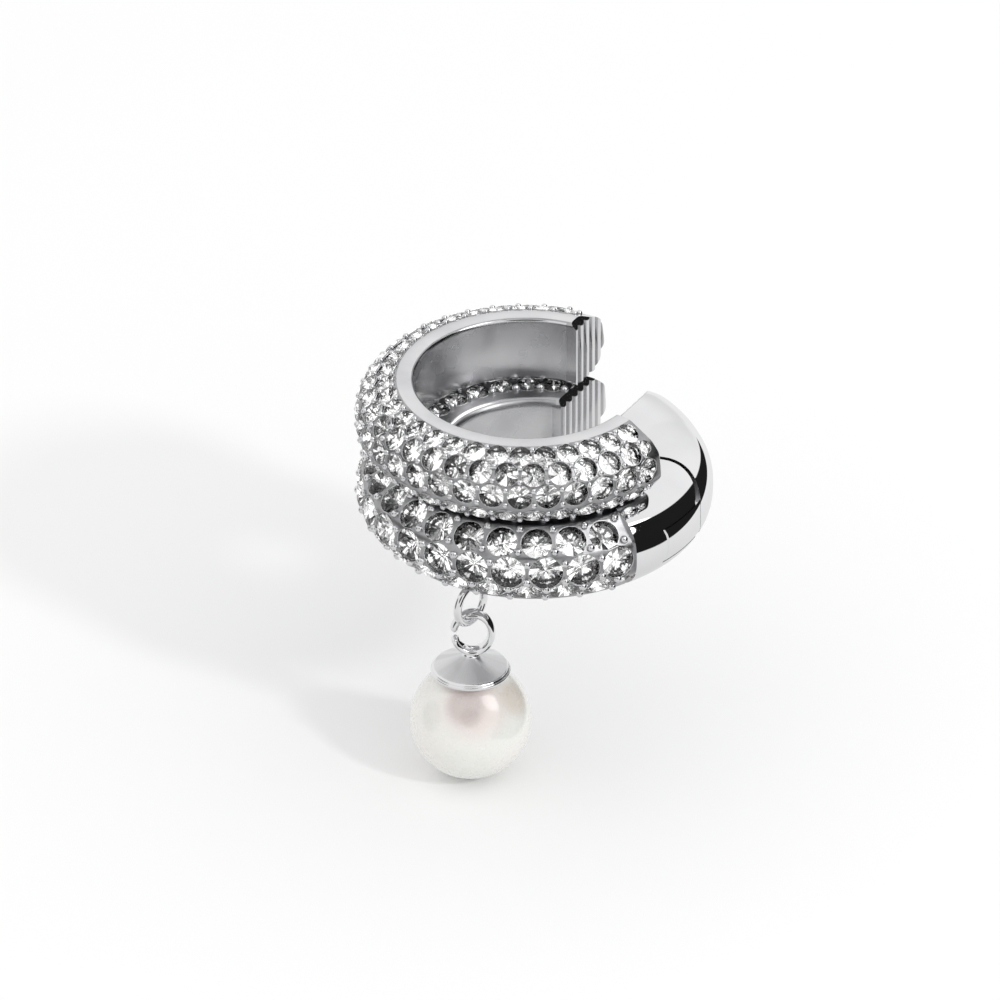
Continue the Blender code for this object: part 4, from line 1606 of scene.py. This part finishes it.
@dataclass(frozen=True)
class Drop:
    """Soldered ring, open eye, cap and pearl."""

    ring_turn: float = 50.0
    ring_r: float = 0.99 * MM
    wire_r: float = 0.20 * MM
    eye_centre: Vector = Vector((-6.8000, -11.6795, -4.7900)) * MM
    eye_shift: float = 0.10 * MM
    strip_half: float = 0.20 * MM
    strip_wide: float = 1.9
    eye_half_width: float = 0.93 * MM
    eye_half_height: float = 1.08 * MM
    eye_foot: float = -157.0
    eye_tail: float = 165.0
    cap_top: float = -5.77 * MM
    neck: float = 0.31 * MM
    cone: float = 0.68 * MM
    rim: float = 0.26 * MM
    rim_curve: float = 0.20 * MM
    ledge: float = 0.06 * MM
    cap_r: float = 1.97 * MM
    cap_top_r: float = 0.34 * MM
    seat_r: float = 1.25 * MM
    pearl_r: float = 3.00 * MM
    pearl_clearance: float = 0.05 * MM
    peg_r: float = 0.40 * MM
    peg_length: float = 2.10 * MM
    hole_depth: float = 2.30 * MM
    fine_soft: float = 0.02 * MM
    rim_soft: float = 0.05 * MM
    neck_soft: float = 0.10 * MM
    foot_soft: float = 0.14 * MM
    skin_share: float = 0.98
    dent: float = 0.012 * MM
    dent_scale: float = 260.0
    solder: Vector = Vector((0.46, 0.30, 0.20)) * MM
    solder_rise: float = 0.16 * MM
    least_step: float = 0.004 * MM

    @property
    def pearl_height(self) -> float:
        """Height of the pearl's centre."""
        dish_r = self.pearl_r + self.pearl_clearance
        rim_bottom = self.cap_top - self.neck - self.cone - self.rim
        return rim_bottom - math.sqrt(dish_r ** 2 - self.seat_r ** 2)

    def loop(self, centre: Vector, turn: float, half_width: float, half_height: float,
             angles: list[float]) -> list[Vector]:
        """Gives the points of an upright oval loop.

        Args:
            centre: centre of the loop.
            turn: polar angle of its plane.
            half_width: half its width.
            half_height: half its height.
            angles: angles of the points, 90 at the top.

        Returns:
            The points.
        """
        side = direction(turn)
        return [
            centre + half_width * math.cos(math.radians(angle)) * side
            + half_height * math.sin(math.radians(angle)) * UP
            for angle in angles
        ]

    def build_ring(self, finishes: Finishes) -> None:
        """Builds the ring with its solder joint.

        Args:
            finishes: the materials.
        """
        points = self.loop(RING_CENTRE, self.ring_turn, self.ring_r, self.ring_r, spread(0, 360, 6)[:-1])
        ring = tube(points, direction(self.ring_turn + 90), self.wire_r, cyclic=True)
        solder = bmesh.new()
        place = Matrix.Translation(RING_CENTRE + (self.ring_r + self.solder_rise) * UP)
        place = place @ Matrix.Rotation(math.radians(self.ring_turn), 4, "Z")
        place = place @ Matrix.Diagonal((*self.solder, 1))
        bmesh.ops.create_uvsphere(solder, u_segments=24, v_segments=12, radius=1, matrix=place)
        piece = solid_piece("soldered_ring", joined(ring, solder), finishes.polished)
        seat(piece, Body.CUFF, Slot.POLISHED, "lower_band")

    def is_cone(self, centre: Vector, normal: Vector) -> bool:
        """Tells whether a face lies on the cone of the cap.

        Args:
            centre: the face's centre.
            normal: its normal.

        Returns:
            True between the neck and the rim.
        """
        cone_top = self.cap_top - self.neck
        across = (centre.xy - DROP_AXIS.xy).length
        within = across < self.cap_r - self.ledge - 0.5 * self.rim_curve
        return within and cone_top - self.cone < centre.z < cone_top and 0.5 < normal.z < 0.97

    def build_cap(self, finishes: Finishes) -> None:
        """Builds the cap with its neck, rim, peg and open eye.

        Args:
            finishes: the materials.
        """
        cone_top = self.cap_top - self.neck
        rim_top = cone_top - self.cone
        rim_bottom = rim_top - self.rim
        pearl_top = self.pearl_height + self.pearl_r
        corners = [
            (Vector((0, self.cap_top)), 0.0),
            (Vector((self.cap_top_r, self.cap_top)), self.neck_soft),
            (Vector((self.cap_top_r, cone_top)), self.foot_soft),
            (Vector((self.cap_r - self.ledge, rim_top)), self.rim_curve),
            (Vector((self.cap_r - self.ledge, rim_top - 0.35 * self.rim)), self.fine_soft),
            (Vector((self.cap_r, rim_top - 0.45 * self.rim)), self.rim_soft),
            (Vector((self.cap_r, rim_bottom)), self.rim_soft),
            (Vector((self.seat_r, rim_bottom)), self.fine_soft),
            (Vector((self.peg_r, pearl_top + 0.03 * MM)), 0.0),
            (Vector((self.peg_r, pearl_top - self.peg_length)), self.fine_soft),
            (Vector((0, pearl_top - self.peg_length)), 0.0),
        ]
        profile = [corners[0][0]]
        for point in softened(corners):
            if (point - profile[-1]).length > self.least_step and point.x > 0.001 * MM:
                profile.append(point)
        profile.append(corners[-1][0])
        cap = turned(profile, DROP_AXIS, CAP_SIDES)
        angles = spread(self.eye_foot, self.eye_tail, 6)
        centre = self.eye_centre + Vector((self.eye_shift, 0, 0))
        points = self.loop(centre, 0, self.eye_half_width, self.eye_half_height, angles)
        eye = tube(points, direction(90), self.strip_half, cyclic=False, wide=self.strip_wide)
        piece = solid_piece("cap_with_eye", joined(cap, eye), finishes.polished)
        finish_faces(piece, finishes.spun, self.is_cone)
        seat(piece, Body.DROP, Slot.POLISHED, "drop_cap")

    def build_pearl(self, finishes: Finishes) -> None:
        """Builds the drilled pearl, very slightly out of round.

        Args:
            finishes: the materials.
        """
        hole_r = self.peg_r + self.pearl_clearance
        start = math.degrees(math.asin(hole_r / self.pearl_r))
        depth = self.pearl_height + self.pearl_r - self.hole_depth
        profile = [Vector((0, depth)), Vector((hole_r, depth))]
        for turn in spread(start, 180, 3):
            across = 0.0 if turn == 180 else self.pearl_r * math.sin(math.radians(turn))
            height = self.pearl_height + self.pearl_r * math.cos(math.radians(turn))
            profile.append(Vector((across, height)))
        pearl = turned(profile, DROP_AXIS, PEARL_SIDES)
        centre = DROP_AXIS + self.pearl_height * UP
        for vert in pearl.verts:
            reach = vert.co - centre
            if reach.length > self.skin_share * self.pearl_r:
                vert.co -= self.dent * (1 + noise.noise(vert.co * self.dent_scale)) * reach.normalized()
        piece = solid_piece("pearl_round", pearl, finishes.pearl)
        seat(piece, Body.DROP, Slot.PEARL, "pearl")


@dataclass(frozen=True)
class DarkZone:
    """Round dark place in the studio; its edge lies between two cosines from its middle."""

    way: Vector
    outer: float
    inner: float
    dimming: float


@dataclass(frozen=True)
class Studio:
    """Floor, light and camera."""

    elevation: float = 32.0
    target: Vector = Vector((-5.3590, -5.0595, -1.3070)) * MM
    distance: float = 1.2
    view_width: float = 49.19 * MM
    sensor_width: float = 36.0
    floor_height: float = -12.82 * MM
    floor_half: float = 2.0
    key_from: Vector = Vector((1.14, -0.98, 1.0))
    key_distance: float = 0.60
    key_size: float = 0.07
    key_power: float = 0.70
    sky: float = 0.985
    softbox: Vector = Vector((0.623, -0.196, 0.755))
    softbox_edge: tuple[float, float] = (0.93, 0.955)
    softbox_power: float = 2.4
    table_shades: tuple[float, float] = (0.68, 0.84)
    table_slope: tuple[float, float] = (0.04, 0.05)
    table_limit: float = 0.92
    back_shades: tuple[float, float] = (0.02, -0.12)
    panel_dimming: float = 0.985
    panel_top: float = 56.0
    panel_slopes: tuple[float, float] = (-0.83, 1.2)
    panel_bottom: float = -26.0
    panel_bow: float = 0.0053
    patch_scale: float = 2.2
    patch_shades: tuple[float, float] = (0.24, 1.50)

    @property
    def back(self) -> Vector:
        """Direction from the target to the camera."""
        lift = math.radians(self.elevation)
        return Vector((0, -math.cos(lift), math.sin(lift)))

    @property
    def zones(self) -> tuple[DarkZone, DarkZone]:
        """Dark places that the mirrors show: one at the front, one at the left."""
        return (
            DarkZone(self.back, outer=0.935, inner=0.965, dimming=0.93),
            DarkZone(Vector((-0.94, -0.1, 0.12)), outer=0.90, inner=0.96, dimming=0.85),
        )

    def build_camera(self) -> None:
        """Places the camera at the photograph's angle, far off with a long lens."""
        lens = bpy.data.cameras.new("camera")
        lens.sensor_width = self.sensor_width
        lens.lens = self.sensor_width * self.distance / self.view_width
        lens.clip_start = 0.01
        lens.clip_end = 50.0
        camera = bpy.data.objects.new("camera", lens)
        camera.location = self.target + self.distance * self.back
        camera.rotation_euler = (math.radians(90 - self.elevation), 0, 0)
        bpy.context.scene.collection.objects.link(camera)
        bpy.context.scene.camera = camera

    def build_floor(self) -> None:
        """Lays the floor just under the pearl; the mirrors show the studio instead of it."""
        bm = bmesh.new()
        place = Matrix.Translation((0, 0, self.floor_height))
        bmesh.ops.create_grid(bm, x_segments=4, y_segments=4, size=self.floor_half, matrix=place)
        floor = mesh_object("floor", bm)
        floor.data.materials.append(FloorFinish().material())
        floor.visible_glossy = False
        floor.visible_transmission = False

    def build_key(self) -> None:
        """Hangs the soft key light at the front right."""
        light = bpy.data.lights.new("key_softbox", "AREA")
        light.shape = "DISK"
        light.size = self.key_size
        light.energy = self.key_power
        lamp = bpy.data.objects.new("key_softbox", light)
        aim = self.key_from.normalized()
        lamp.location = self.target + self.key_distance * aim
        lamp.rotation_euler = aim.to_track_quat("Z", "Y").to_euler()
        lamp.visible_glossy = False
        lamp.visible_transmission = False
        bpy.context.scene.collection.objects.link(lamp)

    def dark_panel(self, sheet: Sheet, parts: bpy.types.NodeOutputs) -> bpy.types.NodeSocket:
        """Gives where the dark panel at the right of the studio stands.

        Args:
            sheet: the world's tree.
            parts: the heading's X, Y and Z.

        Returns:
            1 inside the panel and 0 outside it.
        """
        turn = sheet.math("DEGREES", sheet.math("ARCTAN2", parts["Y"], parts["X"]))
        lift = sheet.math("DEGREES", sheet.math("ARCSINE", parts["Z"]))
        behind, ahead = self.panel_slopes
        fall = sheet.math("MULTIPLY", sheet.math("MAXIMUM", turn, 0.0), behind)
        fall = sheet.math("MULTIPLY_ADD", sheet.math("MINIMUM", turn, 0.0), ahead, fall)
        top = sheet.math("ADD", fall, self.panel_top)
        square = sheet.math("MULTIPLY", turn, turn)
        bottom = sheet.math("MULTIPLY_ADD", square, self.panel_bow, self.panel_bottom)
        under = sheet.ramp(sheet.math("SUBTRACT", top, lift), 0.0, 2.0)
        over = sheet.ramp(sheet.math("SUBTRACT", lift, bottom), 0.0, 1.5)
        return sheet.math("MULTIPLY", under, over)

    def build_world(self) -> None:
        """Paints the studio that the metal and the stones mirror, by direction.

        A dark panel stands at the right and a small one round the camera, over a pale table. The
        light that reaches the stones from inside comes in patches.
        """
        world = bpy.data.worlds.new("studio")
        bpy.context.scene.world = world
        world.use_nodes = True
        world.cycles.sampling_method = "NONE"
        sheet = Sheet(world.node_tree)
        heading = sheet.add("ShaderNodeTexCoord").outputs["Generated"]
        parts = sheet.add("ShaderNodeSeparateXYZ", {0: heading}).outputs
        height = parts["Z"]
        table = sheet.ramp(height, -1.0, -0.15, *self.table_shades)
        for label, slope in zip("XY", self.table_slope):
            table = sheet.math("MULTIPLY_ADD", parts[label], slope, table)
        back = sheet.ramp(parts["Y"], 0.80, 0.97, *self.back_shades)
        table = sheet.math("MULTIPLY_ADD", back, sheet.ramp(height, 0.0, 0.2), table)
        light = sheet.math("MINIMUM", table, self.table_limit)
        panel = self.dark_panel(sheet, parts)
        light = sheet.math("MULTIPLY", light, sheet.math("MULTIPLY_ADD", panel, -self.panel_dimming, 1.0))
        for zone in self.zones:
            near = sheet.vector_math("DOT_PRODUCT", heading, zone.way.normalized()).outputs["Value"]
            cover = sheet.ramp(near, zone.outer, zone.inner)
            light = sheet.math("MULTIPLY", light, sheet.math("MULTIPLY_ADD", cover, -zone.dimming, 1.0))
        near = sheet.vector_math("DOT_PRODUCT", heading, self.softbox.normalized()).outputs["Value"]
        beside_panel = sheet.math("SUBTRACT", 1.0, panel)
        open_box = sheet.math("MULTIPLY", sheet.ramp(near, *self.softbox_edge), beside_panel)
        light = sheet.math("MULTIPLY_ADD", open_box, self.softbox_power, light)
        patches = sheet.noise(heading, self.patch_scale, 3.0)
        inside = sheet.ramp(patches, 0.37, 0.44, *self.patch_shades)
        path = sheet.add("ShaderNodeLightPath")
        through = path.outputs["Is Transmission Ray"]
        change = sheet.math("MULTIPLY", sheet.math("SUBTRACT", inside, light), through)
        light = sheet.math("ADD", light, change)
        soft = sheet.math("MAXIMUM", path.outputs["Is Camera Ray"], path.outputs["Is Diffuse Ray"])
        mirrored = sheet.add("ShaderNodeBackground", {"Color": (1, 1, 1, 1), "Strength": light})
        plain_power = sheet.ramp(path.outputs["Is Camera Ray"], 0.0, 1.0, self.sky, 1.0)
        plain = sheet.add("ShaderNodeBackground", {"Color": (1, 1, 1, 1), "Strength": plain_power})
        choice = sheet.add("ShaderNodeMixShader", {0: soft})
        sheet.tree.links.new(mirrored.outputs[0], choice.inputs[1])
        sheet.tree.links.new(plain.outputs[0], choice.inputs[2])
        sheet.feed(world.node_tree.nodes["World Output"].inputs[0], choice.outputs[0])

    def build(self) -> None:
        """Builds the whole studio."""
        bpy.context.scene.view_settings.view_transform = "Standard"
        self.build_camera()
        self.build_floor()
        self.build_key()
        self.build_world()
        LOG.info("studio: floor, key light, world and camera")


def upper_band() -> StoneBand:
    """Gives the sizes of the upper band.

    Returns:
        The band.
    """
    lines = (
        StoneLine(0.500, 0.045, 62.0, 0.55 * MM, 0.0),
        StoneLine(0.820, 0.200, 42.0, 0.59 * MM, 0.5, 0.33 * MM),
        StoneLine(0.997, 0.505, 6.0, 0.62 * MM, 0.0),
        StoneLine(0.895, 0.868, -38.0, 0.58 * MM, 0.5, 0.33 * MM),
    )
    return StoneBand(
        "upper_band", UPPER_AXIS, lines, inner_r=5.51 * MM, width=2.88 * MM, top=5.77 * MM,
        height=3.57 * MM, inner_round=0.24 * MM, rim_drop=0.0, columns=26, front_polar=322.5,
        bead_r=0.16 * MM, rim_width=1.0 * MM, end_shares=(1.0, 0.985, 0.95, 0.89), end_deg=1.2,
        border_deg=1.3,
    )


def lower_band() -> StoneBand:
    """Gives the sizes of the lower band.

    Returns:
        The band.
    """
    lines = (
        StoneLine(0.352, 0.000, 90.0, 0.58 * MM, 0.5),
        StoneLine(0.820, 0.140, 50.0, 0.77 * MM, 0.75),
        StoneLine(0.997, 0.480, 5.0, 0.85 * MM, 0.0),
        StoneLine(0.890, 0.815, -38.0, 0.82 * MM, 0.5, 0.40 * MM),
    )
    return StoneBand(
        "lower_band", LOWER_AXIS, lines, inner_r=4.43 * MM, width=4.33 * MM, top=2.10 * MM,
        height=4.20 * MM, inner_round=0.40 * MM, rim_drop=0.13 * MM, columns=19, front_polar=305.4,
        bead_r=0.21 * MM, rim_width=0.45 * MM,
    )


def main() -> None:
    """Builds the dressed ear cuff in its studio."""
    logging.basicConfig(level=logging.INFO, format="%(message)s")
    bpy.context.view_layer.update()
    finishes = Finishes.build()
    setter = RowSetter()
    stone = CutStone()
    shapes = {"stone": stone.shape(), "bead": PrickBead().shape(), "collar": SeatCollar().shape()}
    for band in (upper_band(), lower_band()):
        band.build(setter, stone, shapes, finishes)
    hinge = Hinge(PolishedBar())
    hinge.build_fork(finishes)
    hinge.build_arm(finishes)
    hinge.build_pin(finishes)
    drop = Drop()
    drop.build_ring(finishes)
    drop.build_cap(finishes)
    drop.build_pearl(finishes)
    for shape in shapes.values():
        bpy.data.meshes.remove(shape.data)
    Studio().build()


if __name__ == "__main__":
    main()
